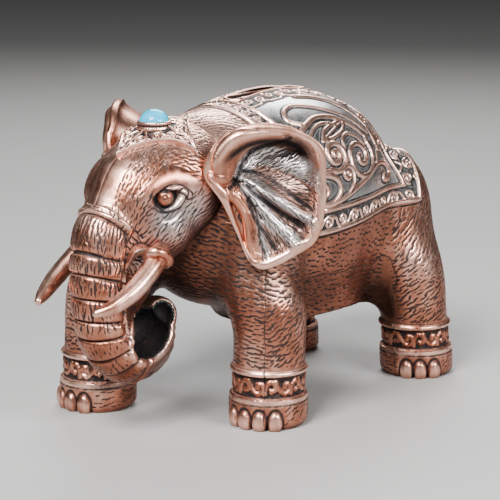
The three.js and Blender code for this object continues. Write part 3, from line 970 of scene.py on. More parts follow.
def filigree():
    """Small scrolls beside the slot and in the four borders, as (line, half width, height)."""
    lines = []
    thin = 0.42
    # beside the slot
    for i, x in enumerate(np.arange(-5.0, 41.0, 4.6)):
        flip = 1 if i % 2 else -1
        lines.append((spiral(x, 6.4 + 0.5 * flip, 2.0, 1.3, 90 * flip, flip, 0.35), thin, 0.6))
        lines.append((spline([(x - 2.2, 9.4), (x, 8.9 - 0.7 * flip), (x + 2.4, 9.6)]), thin, 0.5))
    # along the hem
    for i, x in enumerate(np.arange(1.4, 48.0, 6.2)):
        middle = 56.9 + 0.02 * x
        flip = 1 if i % 2 else -1
        wave = [(-3.4, -1.7), (-1.2, -1.4), (0.4, 1.2), (2.3, 2.0), (4.0, 1.0)]
        lines.append((spline([(x + u, middle + v * flip) for u, v in wave]), thin + 0.08, 0.65))
        curl = spiral(x + 2.2, middle - 0.2 * flip, 1.9, 1.25, 90 * flip, -flip, 0.4)
        lines.append((curl, thin + 0.05, 0.65))
    # down the front
    for i, arc in enumerate(np.arange(2.5, 52.0, 4.2)):
        x = edge_at(SADDLE_FRONT, arc) + 3.9
        flip = 1 if i % 2 else -1
        lines.append((spiral(x + 0.4 * flip, arc, 1.65, 1.3, 90 * flip, flip, 0.3), thin, 0.6))
        stem = [(x - 1.9 * flip, arc - 1.6), (x - 0.6 * flip, arc), (x - 1.8 * flip, arc + 1.8)]
        lines.append((spline(stem), thin, 0.5))
    # down the rear
    for i, arc in enumerate(np.arange(3.0, 54.0, 5.4)):
        x = (edge_at(SADDLE_REAR, arc) + edge_at(REAR_BAR, arc)) / 2
        flip = 1 if i % 2 else -1
        lines.append((spiral(x - 1.4 * flip, arc, 2.3, 1.4, 90 * flip, flip, 0.3), thin + 0.1, 0.65))
        stem = [(x + 3.4 * flip, arc - 2.2), (x + 1.6 * flip, arc), (x + 3.4 * flip, arc + 2.2)]
        lines.append((spline(stem), thin, 0.5))
    return lines


def bars():
    """The straight raised edges of the cloth, as (line, half width, height)."""
    arcs = np.linspace(0, SADDLE_BOTTOM, 26)
    front = np.stack([edge_at(SADDLE_FRONT, arcs) + 1.0, arcs], 1)
    inner_front = np.stack([edge_at(SADDLE_FRONT, arcs) + 6.6, arcs], 1)[arcs < 53]
    rear = np.stack([edge_at(SADDLE_REAR, arcs) - 1.0, arcs], 1)
    inner_rear = np.stack([edge_at(REAR_BAR, arcs), arcs], 1)[arcs < 54.5]
    bottom = np.array([(-2.5, SADDLE_BOTTOM - 1.1), (52, SADDLE_BOTTOM - 1.1)])
    inner_bottom = np.array([(-0.3, 52.6), (25, 53.2), (46, 53.8)])
    return [
        (front, 0.75, 0.8), (inner_front, 0.7, 0.75), (rear, 0.95, 1.0),
        (inner_rear, 0.85, 0.85), (bottom, 0.95, 1.0), (inner_bottom, 0.95, 0.9),
    ]


def draw(skin, place, lines):
    """Raises lines drawn on a skin's own (u, v) places and outlines them in black."""
    raised, outline, tallest = np.zeros((3, len(place)))
    for line, width, height in lines:
        reach = width + 1.2
        low, high = line.min(0) - reach, line.max(0) + reach
        at = np.flatnonzero(((place > low) & (place < high)).all(1))
        d, _ = nearest_on(place[at], line)
        ridge = bead(d, width)
        raised[at] = np.maximum(raised[at], ridge)
        tallest[at] = np.maximum(tallest[at], ridge * height)
        outline[at] = np.maximum(outline[at], 1 - step_up(d, width + 0.25, width + 0.9))
    on_line = step_up(raised, 0.25, 0.6)
    skin.height += tallest
    skin.tone = np.maximum(skin.tone, on_line)
    skin.ink = np.maximum(skin.ink, outline) * (1 - on_line)
    skin.lift += 0.5 * step_up(raised, 0.4, 0.9)


def saddle_skin(cell):
    """The cloth as one sheet, laid on the barrel from its top down both sides."""
    rows = int(2 * SADDLE_BOTTOM / cell)
    across = int(SADDLE_LENGTH / cell)
    arc = np.linspace(-SADDLE_BOTTOM, SADDLE_BOTTOM, rows)[:, None]
    share = np.linspace(0, 1, across)[None, :]
    front, rear = edge_at(SADDLE_FRONT, np.abs(arc)), edge_at(SADDLE_REAR, np.abs(arc))
    x = (front + (rear - front) * share).reshape(-1)
    angle = np.broadcast_to(arc, (rows, across)).reshape(-1) / saddle_span(x)
    out = stacked(0.0, -np.sin(angle), np.cos(angle)).astype(np.float32)
    root = stacked(x, 0.0, SADDLE_AXIS_Z).astype(np.float32)
    reach = np.full(len(x), 30, np.float32)
    for _ in range(14):
        reach -= 0.9 * (torso(root + out * reach[:, None]) - 0.15)
    points = root + out * reach[:, None]
    skin = sheet_skin(points, grid_quads(rows, across)[:, ::-1])
    place = stacked(x, np.abs(angle) * saddle_span(x))
    depth = inside_saddle(points)
    border = (place[:, 1] > 53) | (place[:, 0] < edge_at(SADDLE_FRONT, place[:, 1]) + 6.5)
    border |= place[:, 0] > edge_at(REAR_BAR, place[:, 1])
    crown = (place[:, 1] < 10.3) & ~border
    skin.tone[:] = 0
    skin.ink = np.where(border, 0.72, np.where(crown, 0.85, 0.0))
    skin.height -= 0.2 * (border | crown)
    # painted shade, with some grime, in the cloth's hollows
    skin.shade = 0.8 * hollows(everything, points, skin.normals, 4.0)
    draw(skin, place, big_scrolls() + filigree() + bars())
    rim = hump(slot_gap(points) - 0.9, 0.6)
    skin.height = np.maximum(skin.height * (1 - rim), 0.7 * rim)
    skin.tone = np.maximum(skin.tone, rim)
    skin.ink = skin.ink * (1 - rim)
    skin.tuck_in(depth, 0.5, 1.1)
    return skin


# --------------------------------------------------------------------------------------------------
# The head: trunk rings, eyes, brows and fur
# --------------------------------------------------------------------------------------------------

# lengths along the trunk's centre line of its ring grooves and of the rope-like notches at its tip
RING_GROOVES = (13.0, 20.6, 26.4, 32.4, 38.6, 43.2, 48.4, 53.4, 58.2)
TRUNK_ROPE = np.arange(61.5, 78, 2.3)
EYE = (-51.8, -14.1, 71.9)
EYE_R = 2.55
EYE_AHEAD = (-0.74, -0.66, 0.14)  # where the left eye looks
UPPER_LID = [
    (-57.8, -14.2, 69.7), (-56.8, -14.8, 71.6), (-54.8, -15.2, 73.5), (-52.0, -15.6, 74.4),
    (-48.6, -15.8, 74.4), (-46.6, -16.5, 73.4), (-45.2, -17.3, 72.0),
]
LOWER_LID = [
    (-57.8, -14.2, 69.7), (-56.5, -14.8, 69.1), (-54.8, -15.4, 68.4), (-52.3, -16.1, 68.5),
    (-49.6, -16.4, 69.6), (-47.8, -16.3, 71.3), (-47.1, -16.3, 72.8),
]
BROW = [
    (-59.9, -12.8, 71.6), (-59.0, -13.2, 73.2), (-56.7, -14.1, 75.8), (-53.0, -14.6, 77.8),
    (-49.1, -14.9, 78.1), (-46.0, -16.6, 76.6), (-43.2, -18.0, 75.0),
]
TEAR_FOLD = [
    (-57.4, -14.5, 69.2), (-56.2, -14.5, 66.9), (-53.2, -14.9, 65.4), (-49.8, -15.4, 65.9),
    (-47.0, -16.0, 68.0),
]
MOUTH = [(-59, -8.6, 56), (-54, -10.5, 52.5), (-49, -11.5, 51), (-44, -11, 51.5)]
# silver tone at these spots: silvered plating on the cheek, below the eye and at the tusk's root, and a
# painted highlight on the trunk's lower curl
SILVER_AND_HIGHLIGHT_SPOTS = [  # centre, reach
    ((-44, -18, 66), 8), ((-58, -9, 56), 5), ((-52, -14, 66), 5), ((-46, -8, 21), 5),
]


def fold_left(p):
    """Points folded onto the left side, y < 0."""
    q = p.copy()
    q[:, 1] = -np.abs(q[:, 1])
    return q


def gap_to(values, marks):
    """How far each value is from the nearest of some marks."""
    return np.abs(values[:, None] - np.array(marks)[None, :]).min(1)


def trunk_way(along):
    """Towards the trunk's tip, at lengths along its centre line."""
    return place_at(TRUNK[:, :3], along + 0.5) - place_at(TRUNK[:, :3], along)


def trunk_relief(skin):
    """The trunk's rings and ridges. Returns the length along it, and masks of it and of its front."""
    p = skin.points
    line = TRUNK[:, :3]
    distance, along = nearest_on(p, line)
    way = trunk_way(along)
    way /= np.linalg.norm(way, axis=1, keepdims=True) + 1e-6
    outer = stacked(way[:, 2], 0.0, -way[:, 0])
    # 1 on the trunk's outer side and -1 inside its curl
    frontness = ((p - place_at(line, along)) * outer).sum(1) / (distance + 1e-6)
    on_trunk = (distance < 11.5) & (along > 8) & (p[:, 2] < 70)
    front = on_trunk & (frontness > -0.12)
    # the rings sag a little towards the sides
    sagging = along - 1.6 * (1 - np.clip(frontness, 0, 1)) * np.clip((60 - along) / 20, 0, 1)
    nearest = gap_to(sagging, RING_GROOVES)
    fade = step_up(frontness, -0.12, 0.15) * on_trunk * (along < 61) * step_up(along, 8.5, 10.5)
    ringed = (along > 12) & (along < 59.5)
    skin.height += fade * ringed * 0.85 * np.clip(1 - np.exp(-nearest / 0.9), 0, 1)
    skin.cut(hump(nearest, 0.42) * fade, 0.55)
    skin.raise_up(hump(sagging - 11.2, 0.9) * fade, 0.6, 0.2)
    notched = on_trunk & (along > 60) & (frontness > 0.35) & (distance < 9.5)
    rope = gap_to(along + 2.2 * (frontness - 0.6), TRUNK_ROPE)
    skin.cut(hump(rope, 0.36) * notched * step_up(frontness, 0.35, 0.6), 0.45)
    skin.raise_up(hump(frontness + 0.16, 0.07) * on_trunk * (along > 26) * (along < 60), 0.45, 0.3)
    return along, on_trunk, front


def ridge_on(skin, line, width, height, lift):
    """A raised fold along a 3-D line near the left side, mirrored to the right."""
    d, _ = nearest_on(fold_left(skin.points), spline(line))
    skin.raise_up(bead(d, width), height, lift)
    return d


def eyelids(skin, left):
    """Brow, lids, the fold below and the opening that the eye sits in. Returns a mask of them all."""
    brow = ridge_on(skin, BROW, 3.0, 0.75, 0.0)
    upper = ridge_on(skin, UPPER_LID, 0.9, 1.0, 0.3)
    lower = ridge_on(skin, LOWER_LID, 1.15, 1.5, 0.5)
    tear, _ = nearest_on(left, spline(TEAR_FOLD))
    skin.height -= 0.4 * hump(tear, 0.6)
    to_eye = np.linalg.norm(left - np.float32(EYE), axis=1)
    lids = [np.array(lid)[:, ::2] for lid in (UPPER_LID, LOWER_LID)]
    above, below = (np.interp(left[:, 0], lid[:, 0], lid[:, 1]) for lid in lids)
    opening = (left[:, 2] < above) & (left[:, 2] > below) & (to_eye < 7) & (left[:, 0] < -45.6)
    opening = opening * (1 - step_up(to_eye, 3.5, 4.7)) * step_up(upper, 0.3, 0.8) * step_up(lower, 0.7, 1.1)
    skin.height -= 1.5 * opening
    skin.blacken(0.97 * opening)
    for d, gap, broad, dark in ((upper, 1.15, 0.4, 0.9), (lower, 1.55, 0.4, 0.85), (tear, 0.0, 0.5, 0.8)):
        skin.blacken(dark * (1 - opening) * hump(d - gap, broad))
    return (brow < 2.1) | (upper < 1.6) | (lower < 1.7) | (tear < 0.8) | (to_eye < 4.6)


def crown_flow(p):
    """The coat's flow on the head: up the face, back over the crown and down behind the brow."""
    x, y, z = p.T
    way = stacked(0.75, 0.0, 0.66 + 0 * x)
    way = turned_to(way, (0.8, 0, -0.55), step_up(x, -50, -45) * step_up(z, 74, 79))
    return turned_to(way, stacked(0.1, 0.12 * np.sign(y), 1.0), step_up(-x, 56, 62))


def down_trunk(p):
    return trunk_way(nearest_on(p, TRUNK[:, :3])[1]) + 1e-6


def trunk_side_flow(p):
    return down_trunk(p) * 0.7 + np.array([0.32, 0, 0.12])


def head_skin(rounds):
    """The head and trunk, with the cup in its curl left open for the lining."""
    skin = field_skin(head_with_cup, (-82, -24, 12), (-12, 24, 94), 1.3, rounds)
    p = skin.points
    painted_light_and_wear(skin, everything)
    along, on_trunk, front = trunk_relief(skin)
    left = fold_left(p)
    eye_zone = eyelids(skin, left)

    skin.cut(hump(p[:, 1], 0.3) * ((p[:, 2] > 60) | (p[:, 0] > -55)), 0.07, 0.3)
    # silver tone at the spots, the one on the trunk's lower curl a painted highlight
    for centre, reach in SILVER_AND_HIGHLIGHT_SPOTS:
        skin.tone -= 0.6 * hump(np.linalg.norm(left - np.float32(centre), axis=1), reach)
    bald = (np.abs(p[:, 1]) < 5.5) & (p[:, 0] < -56) & (p[:, 2] > 64.5)
    skin.lift += 0.1 * bald
    mouth, _ = nearest_on(left, spline(MOUTH))
    skin.cut(hump(mouth, 0.5), 0.5, 0.8)

    to_cup = cup(p)
    skin.raise_up(bead(to_cup - 1.2, 1.0), 0.6, 0.3)
    open_air = (body(p) > 0.5) & (inside_plate(p) <= 0) & ~eye_zone & (to_cup > 2.2)
    skin.blacken(to_cup < 0.4)

    crown = open_air & ~bald & ~(on_trunk & (along > 12.2))
    fur(skin, crown, crown_flow, 1.2, 2.7, 0.25, 0.28)
    ring_gap = gap_to(along, RING_GROOVES)
    upper_rings = open_air & front & (along > 13) & (along < 40) & (ring_gap > 1.3)
    lower_rings = open_air & front & (along >= 40) & (along < 60) & (ring_gap > 1.2)
    fur(skin, upper_rings, down_trunk, 1.1, 3.6, 0.28, 0.32)
    fur(skin, lower_rings, down_trunk, 1.35, 2.1, 0.25, 0.2, ink=0.85)
    sides = open_air & on_trunk & ~front & (along > 12)
    fur(skin, sides, trunk_side_flow, 1.05, 2.6, 0.28, 0.26)
    return skin


# --------------------------------------------------------------------------------------------------
# Head plate, stone and its setting
# --------------------------------------------------------------------------------------------------

GEM_CENTRE = (-41.0, 0.0)
PLATE_EDGE = [  # x, y of the left half, from the front point by the side corner to the back point
    (-57.6, 0), (-52, -3.6), (-47, -7.6), (-43.2, -11.6), (-39.8, -16.2),
    (-37.4, -11.6), (-33.6, -7.4), (-29.4, -3.4), (-24.8, 0),
]
PLATE_CURLS = [  # spirals of the right half; the left half mirrors them
    (-49.6, 2.6, 1.7, 1.4, 200, 1), (-46.2, 5.8, 1.7, 1.4, 60, -1), (-43.2, 8.8, 1.6, 1.4, 220, 1),
    (-40.2, 11.8, 1.4, 1.3, 40, -1), (-38.6, 7.6, 1.7, 1.4, 100, 1), (-35.6, 5.0, 1.6, 1.4, 300, -1),
    (-32.4, 2.4, 1.4, 1.3, 150, 1), (-52.8, 1.8, 1.1, 1.2, 0, -1),
]
PLATE_STEMS = [
    [(-46.4, 1.6), (-48.4, 4.4), (-46.6, 7.6), (-44.8, 7.4)],
    [(-43.6, 4.6), (-44.4, 7.2), (-41.4, 10.6), (-41.8, 13.2)],
    [(-40.2, 5.2), (-40.8, 9.0), (-38.8, 10.6), (-39.6, 13.8)],
    [(-37.4, 3.4), (-36.2, 7.6), (-37.8, 9.6)],
    [(-35.4, 1.4), (-33.6, 4.6), (-34.2, 6.2)],
]


def plate_half(steps):
    """The left half of the plate's outline, with its corner kept sharp."""
    left = np.array(PLATE_EDGE)
    return np.vstack([spline(left[:5], steps), spline(left[4:], steps)[1:]])


def plate_edge():
    """The plate's whole outline in plan, as bearings from the stone and reaches."""
    line = plate_half(10)
    line = np.vstack([line, (line * (1, -1))[-2:0:-1]])
    gap = line - GEM_CENTRE
    angle = np.arctan2(gap[:, 1], gap[:, 0])
    order = np.argsort(angle)
    return angle[order], np.hypot(gap[:, 0], gap[:, 1])[order]


def inside_plate(p):
    """How far inside the plate's outline a point lies in plan, as millimetres of reach."""
    angle, reach = plate_edge()
    x, y = p[:, 0] - GEM_CENTRE[0], p[:, 1] - GEM_CENTRE[1]
    limit = np.interp(np.arctan2(y, x), angle, reach, period=2 * math.pi)
    return np.where(p[:, 2] > 70, limit - np.hypot(x, y), -9)


def drop_onto(field, xy, top, offset):
    """Points above plan places, resting on a field from overhead."""
    z = np.full(len(xy), top, np.float32)
    for _ in range(40):
        z -= 0.7 * (field(stacked(xy[:, 0], xy[:, 1], z).astype(np.float32)) - offset)
    return stacked(xy[:, 0], xy[:, 1], z).astype(np.float32)


def head_plate_skin():
    """The plate as rings round the stone, laid on the head."""
    angles = np.linspace(-math.pi, math.pi, 800, endpoint=False)
    reach = np.interp(angles, *plate_edge(), period=2 * math.pi)
    shares = np.linspace(0.16, 1, 130)
    r = shares[:, None] * reach[None, :]
    xy = np.stack([GEM_CENTRE[0] + r * np.cos(angles), GEM_CENTRE[1] + r * np.sin(angles)], -1).reshape(-1, 2)
    points = drop_onto(head, xy, 98, 0.45)
    skin = sheet_skin(points, grid_quads(len(shares), len(angles), wrap=True)[:, ::-1])
    skin.tone[:] = 0.2
    skin.ink[:] = 0.95
    rim = (plate_half(8) - GEM_CENTRE) * (0.955, -0.955) + GEM_CENTRE
    lines = [(rim, 0.6, 0.8)]
    for x0, x1 in ((-57, -46.5), (-35.5, -25.5)):
        lines.append((np.array([(x0, 0.0), (x1, 0.0)]), 0.4, 0.6))
    lines += [(spiral(*curl, 0.35), 0.36, 0.6) for curl in PLATE_CURLS]
    lines += [(spline(stem), 0.34, 0.55) for stem in PLATE_STEMS]
    draw(skin, stacked(points[:, 0], np.abs(points[:, 1])), lines)
    inside = (1 - np.repeat(shares, len(angles))) * np.tile(reach, len(shares))
    skin.tuck_in(inside, 0.45, 1.4)
    return skin


def lathe(profile, centre, around, ripple=0.0, ripples=0):
    """A ring of quads from a profile of (radius, z), turned about an upright axis through a centre."""
    profile = np.array(profile, float)
    angles = np.linspace(0, 2 * math.pi, around, endpoint=False)
    r = profile[:, :1] * (1 + ripple * np.cos(ripples * angles))
    x, y = centre[0] + r * np.cos(angles), centre[1] + r * np.sin(angles)
    z = np.broadcast_to(profile[:, 1:], r.shape) + centre[2]
    points = np.stack([x, y, z], -1).reshape(-1, 3)
    return points, faced_out(points, grid_quads(len(profile), around, wrap=True))


# --------------------------------------------------------------------------------------------------
# Ears: a bowl with a rolled rim and haired folds, drawn on (u along the ear, z)
# --------------------------------------------------------------------------------------------------

EAR_ROOT = (-38.0, -19.5)
EAR_TIP = (-16.0, -44.2)
EAR_OUTLINE = [
    (-2, 77), (-1, 83), (4, 89), (11.5, 92), (20, 92), (27, 89.6), (32.8, 85), (33.6, 76), (33.4, 67),
    (31, 58), (25, 53.4), (16, 49.2), (11, 52), (7.5, 60), (3, 69.5),
]
EAR_FAN = (8.5, 76.5)
FRONT_FOLD = [(1.0, 77.0), (4.6, 73.6), (7.9, 69.9), (10.3, 66.2), (11.3, 62.4), (11.8, 57.5), (13.2, 53.2)]
EAR_HOOD = [  # u, z, radius of the thick roll over the ear's front top corner
    (3.4, 77.5, 3.6), (4.6, 82.5, 4.6), (8.6, 86.8, 4.4), (14.5, 88.4, 3.2), (20, 88.8, 2.2),
]
EAR_FOLDS = [  # line, half width, height
    ([(8.5, 78.5), (13.5, 81.5), (20.2, 80.6), (27.5, 78.0), (32.0, 75.0)], 3.9, 2.2),
    ([(8.0, 76.8), (12.9, 74.2), (18.8, 69.9), (24.6, 66.0), (31.2, 62.0)], 2.3, 2.3),
    ([(10.6, 72.8), (14.0, 67.6), (18.8, 62.2), (23.6, 58.0), (26.5, 55.6)], 2.9, 2.0),
    ([(12.8, 65.6), (14.6, 59.6), (16.4, 53.6)], 1.8, 1.2),
]
EAR_VALLEYS = [
    [(9.2, 77.6), (14.9, 76.2), (21.7, 72.2), (28.6, 67.2), (32.2, 65.2)],
    [(10.6, 73.6), (14.2, 70.2), (20.2, 65.6), (26.8, 61.2)],
    [(10.8, 69.4), (13.0, 63.8), (16.8, 58.4), (19.0, 54.8)],
]
EAR_CUP = 9.5  # how far the bowl sinks back
FAR_EAR_PIVOT = (-32.7, 25.5)  # the far ear is turned about its root and raised a little
FAR_EAR_TURN = math.radians(-11)
FAR_EAR_SHIFT = (0.2, -0.4, 1.6)


def resample(line, count):
    """A closed polyline in equal steps."""
    line = np.vstack([line, line[:1]])
    return place_at(line, np.linspace(0, lengths_along(line)[-1], count, endpoint=False))


def pouch_quads(rings, around):
    """The quads of two sheets of rings, a front and a back, joined round their last ring."""
    front = grid_quads(rings, around, wrap=True)
    count = rings * around
    outer = count - around + np.arange(around)
    following = count - around + (np.arange(around) + 1) % around
    rim = np.stack([outer, outer + count, following + count, following], 1)[:, ::-1]
    return np.vstack([front, front[:, ::-1] + count, rim])


def ear_skin(rings, around):
    """The left ear: a front and a back sheet joined round the edge."""
    edge = resample(spline(EAR_OUTLINE, 12, closed=True), around)
    root = np.array(EAR_ROOT)
    along = unit(np.array(EAR_TIP) - root)
    facing = np.array([along[1], -along[0]])
    shares = np.linspace(0.01, 1, rings)
    gap = edge - np.array(EAR_FAN)

    def place(depth):
        return np.column_stack([root + uv[:, :1] * along + depth[:, None] * facing, uv[:, 1]])

    uv = (np.array(EAR_FAN) + shares[:, None, None] * gap[None]).reshape(-1, 2)
    in_from_edge = ((1 - shares)[:, None] * np.linalg.norm(gap, axis=1)[None]).reshape(-1)
    up = step_up(uv[:, 1], 74, 84) * step_up(uv[:, 0], -3, 8)

    # the rolled rim, the thick hood over the front top corner and the fold down the front edge
    roll = 1.5 + 1.1 * up
    front = 0.5 - 3.3 * step_up(in_from_edge, 1.6, 5.8)
    front += (0.7 + 1.3 * up) * bead(in_from_edge - roll, roll + 0.6)
    hood_line = spline(EAR_HOOD)
    hood_d, hood_at = nearest_on(uv, hood_line[:, :2])
    hood_r = np.interp(hood_at, lengths_along(hood_line[:, :2]), hood_line[:, 2])
    hood = 1.25 * np.sqrt(np.clip(hood_r**2 - hood_d**2, 0, None))
    hooded = step_up(hood_r + 0.6 - hood_d, 0, 1.2)
    front_d, _ = nearest_on(uv, spline(FRONT_FOLD))
    behind = uv[:, 0] < np.interp(uv[:, 1], *np.array(FRONT_FOLD)[::-1, ::-1].T)
    front = np.where(behind, np.maximum(front, -0.6), front)
    front += 2.1 * bead(front_d, 2.1)

    # the fan of folds, silvered, with black valleys between
    swell = np.zeros(len(uv))
    for line, width, height in EAR_FOLDS:
        d, _ = nearest_on(uv, spline(line))
        swell = np.maximum(swell, height * np.cos(np.clip(d / width, 0, 1) * math.pi / 2))
    inner = step_up(in_from_edge, 1.2, 4.2) * ~behind * (1 - hooded)
    front = np.maximum(front, front * (1 - hooded) + hooded * (hood - 0.4))
    front += swell * inner
    tone = 1 - 0.85 * inner * step_up(front_d, 1.6, 2.8) * (0.25 + 0.75 * step_up(swell, 0.3, 1.3))
    ink = np.zeros(len(uv))
    for line in EAR_VALLEYS:
        d, _ = nearest_on(uv, spline(line))
        front -= 0.5 * hump(d, 1.2) * inner
        ink = np.maximum(ink, 0.85 * hump(d, 0.95) * inner)
    ink = np.maximum(ink, 0.75 * inner * hump(front_d - 2.6, 0.8))
    # painted shadow in black under the top rim
    shadow_under_rim = hump(in_from_edge - 2 * roll - 1.4, 1.7) * up
    ink = np.maximum(ink, 0.8 * shadow_under_rim)

    # the back sheet, and painted shade with some grime in the hollows and under the rim
    back = -0.6 - 2.9 * step_up(in_from_edge, 0, 6)
    back -= 0.5 * swell * inner
    beside_hood = hump(hood_d - hood_r - 1.2, 1.2) * ~behind * (in_from_edge > 3)
    ink = np.maximum(ink, 0.8 * beside_hood)
    shade_and_grime = np.clip(0.75 * step_up(-front, 0.6, 2.8) + 0.8 * shadow_under_rim, 0, 1) * (1 - 0.85 * swell / 2.2)

    # the bowl is deepest under its top rim, which curls forwards over it
    cupped = -EAR_CUP * np.sin(np.clip(uv[:, 0] / 34, 0, 1) * math.pi) * step_up(uv[:, 1], 70, 82)
    cupped *= 1 - 0.85 * step_up(uv[:, 1], 81, 91.5)
    front = front + cupped
    back = back + cupped
    clear_of_root = step_up(uv[:, 0], 3, 9)
    for _ in range(3):
        push = np.clip(1.4 - everything(place(front).astype(np.float32)), 0, 3) * clear_of_root
        front, back = front + push, back + push

    count = len(uv)
    skin = sheet_skin(np.vstack([place(front), place(back)]), pouch_quads(rings, around))
    skin.tone[:count] = tone
    skin.ink[:count] = ink
    # painted shade with some grime: a little over the back sheet, more in the front's hollows and under the
    # rim
    skin.shade[:] = 0.2
    skin.shade[:count] = shade_and_grime
    skin.lift[:count] += 0.35 * bead(in_from_edge - roll, roll)
    haired = np.zeros(2 * count, bool)
    haired[:count] = (in_from_edge > 4.5 - 1.5 * (1 - up)) & ~behind & (front_d > 2.0) & (hooded < 0.1)
    fan = np.array([*(root + EAR_FAN[0] * along), EAR_FAN[1]])
    fur(skin, haired, lambda p: p - fan, 1.0, 3.0, 0.2, 0.2, ink=0.8)
    back_coat = np.zeros(2 * count, bool)
    back_coat[count:] = (in_from_edge > 2) & (uv[:, 1] < 76)
    fur(skin, back_coat, lambda p: p - fan, 1.5, 3.0, 0.24, 0.2)
    return skin


def swung(part, pivot, angle, shift):
    """A (points, quads, marks) part turned about an upright axis and moved."""
    points, quads, marks = part
    x, y = (points[:, :2] - pivot).T
    c, s = math.cos(angle), math.sin(angle)
    turned = stacked(x * c - y * s, x * s + y * c, points[:, 2])
    return turned + (*pivot, 0) + shift, quads, marks


def mirrored(part):
    """A (points, quads, marks) part reflected to the other side."""
    points, quads, marks = part
    return points * (1, -1, 1), quads[:, ::-1], marks


# --------------------------------------------------------------------------------------------------
# Swept pieces: tusks, their collars and the tail
# --------------------------------------------------------------------------------------------------

TUSK = [  # x, y, z, radius
    (-49.5, -10.5, 58.5, 2.6), (-55.6, -14.6, 54.8, 3.1), (-61.5, -15.6, 50.8, 2.95),
    (-67.8, -15.5, 46.6, 2.75), (-74.2, -13.8, 43.2, 2.1), (-78.2, -11.8, 42.0, 1.2),
]
FLUTE_ANGLE = 1.9
LIP_LOBE = [
    (-56.2, -12.6, 55.8, 1.5), (-58.6, -11.2, 57.2, 2.3), (-60.8, -9.8, 56.2, 2.1), (-63.0, -9.0, 52.4, 0.7),
]
TAIL = [
    (56, 0, 68, 3.2), (62, 0, 70.5, 2.9), (68.5, 0.5, 69.4, 2.3), (75, 2, 63, 1.8),
    (77.5, 4.5, 54, 1.6), (76.5, 7, 45, 2.3), (75, 8.2, 40, 1.6),
]


def sweep(line, around, shape=None):
    """A closed skin along a path of (x, y, z, radius). shape(share, angle) scales the radius."""
    line = np.asarray(line, float)
    centre, radius = line[:, :3], line[:, 3]
    way = unit(np.gradient(centre, axis=0))
    side = unit(np.cross(way, (0.02, 0.05, 1.0)))
    up = np.cross(side, way)
    # a point at the root and a rounded cap at the tip
    cap = np.linspace(0.3, 1.55, 6)
    tip = centre[-1] + way[-1] * radius[-1] * np.sin(cap)[:, None]
    centre = np.vstack([centre[:1], centre, tip])
    radius = np.concatenate([[0.05], radius, radius[-1] * np.cos(cap)])
    side, up = (np.pad(axes, ((1, len(cap)), (0, 0)), mode="edge") for axes in (side, up))
    angle = np.linspace(0, 2 * math.pi, around, endpoint=False)
    share = np.linspace(0, 1, len(centre))
    r = np.repeat(radius[:, None], around, 1)
    if shape:
        r = r * shape(share[:, None], angle[None, :])
    ring = side[:, None] * np.cos(angle)[None, :, None] + up[:, None] * np.sin(angle)[None, :, None]
    points = (centre[:, None] + ring * r[..., None]).reshape(-1, 3)
    skin = sheet_skin(points, faced_out(points, grid_quads(len(centre), around, wrap=True)))
    return skin, np.repeat(share, around), np.tile(angle, len(centre))


def tusk_flute(share, angle):
    """One shallow groove along the tusk, fading out at both ends."""
    ends = step_up(share, 0.1, 0.3) * (1 - step_up(share, 0.7, 0.95))
    return 1 - 0.16 * hump(angle - FLUTE_ANGLE, 0.42) * ends


def tusk_skin():
    skin, share, angle = sweep(spline(TUSK, 12), 56, tusk_flute)
    # painted shade, with some grime, in the flute
    skin.shade += 0.75 * hump(angle - FLUTE_ANGLE, 0.30) * (1 - step_up(share, 0.7, 0.9))
    skin.ink += 0.85 * hump(share, 0.2)
    skin.lift += 0.3 * step_up(share, 0.2, 0.6)
    streaks = np.sin(angle * 17 + 3 * np.sin(share * 9)) > 0.93
    skin.blacken(0.4 * streaks * (share > 0.12) * (share < 0.75))
    return skin


def lobe_shape(share, angle):
    """The section of the leaf-shaped lobe, the same all along it."""
    return 1 - 0.35 * np.abs(np.sin(angle)) - 0.1 * np.cos(3 * angle)


def collar_skins():
    """The lip's rolled fold round a tusk's root, and a leaf-shaped lobe running up beside the trunk."""
    root, middle = np.array(TUSK)[:2, :3]
    axis = unit(middle - root)
    across = unit(np.cross(axis, (0, 0, 1.0)))
    up = np.cross(across, axis)
    centre = middle + axis * 0.6
    turn = np.linspace(math.radians(-60), math.radians(285), 44)
    path = centre + 3.3 * (np.cos(turn)[:, None] * across + np.sin(turn)[:, None] * up)
    path += axis * (0.9 * np.sin(turn))[:, None]
    radius = 1.0 + 0.75 * hump(turn - 1.3, 0.9) + 0.4 * hump(turn - 3.4, 0.6)
    fold, _, _ = sweep(np.column_stack([path, radius]), 32)
    fold.lift += 0.1
    lobe, _, angle = sweep(spline(LIP_LOBE, 10), 36, lobe_shape)
    lobe.blacken(0.8 * hump(angle - 3.1, 0.3))
    for skin in (fold, lobe):
        # painted shade, with some grime, where the folds meet the head
        skin.shade = 0.8 * hollows(head, skin.points, skin.normals, 2.0)
    return fold, lobe


def tail_waves(share, angle):
    """The rope's three strands, the hairs of the brush, and how much the brush has taken over."""
    return np.cos(3 * angle + 60 * share), np.cos(9 * angle + 5 * share), step_up(share, 0.62, 0.78)


def tail_shape(share, angle):
    twist, hair, brush = tail_waves(share, angle)
    return 1 + 0.10 * (1 - brush) * twist + 0.16 * brush * hair


def tail_skin():
    skin, share, angle = sweep(spline(TAIL, 40), 72, tail_shape)
    twist, hair, brush = tail_waves(share, angle)
    skin.ink = 0.85 * step_up(-twist, 0.6, 0.95) * (1 - brush) + 0.9 * step_up(-hair, 0.55, 0.95) * brush
    skin.lift += 0.35 * np.where(brush > 0.5, hair, twist)
    return skin


# --------------------------------------------------------------------------------------------------
# Round pieces: stone, setting, eyes, cup, slot, stopper and its seat
# --------------------------------------------------------------------------------------------------


def round_node(name):
    """The foot of a round CAD node's axis, its radius and its height."""
    low, high = node_box(name)
    return ((low[0] + high[0]) / 2, 0, low[2]), (high[0] - low[0]) / 2, high[2] - low[2]


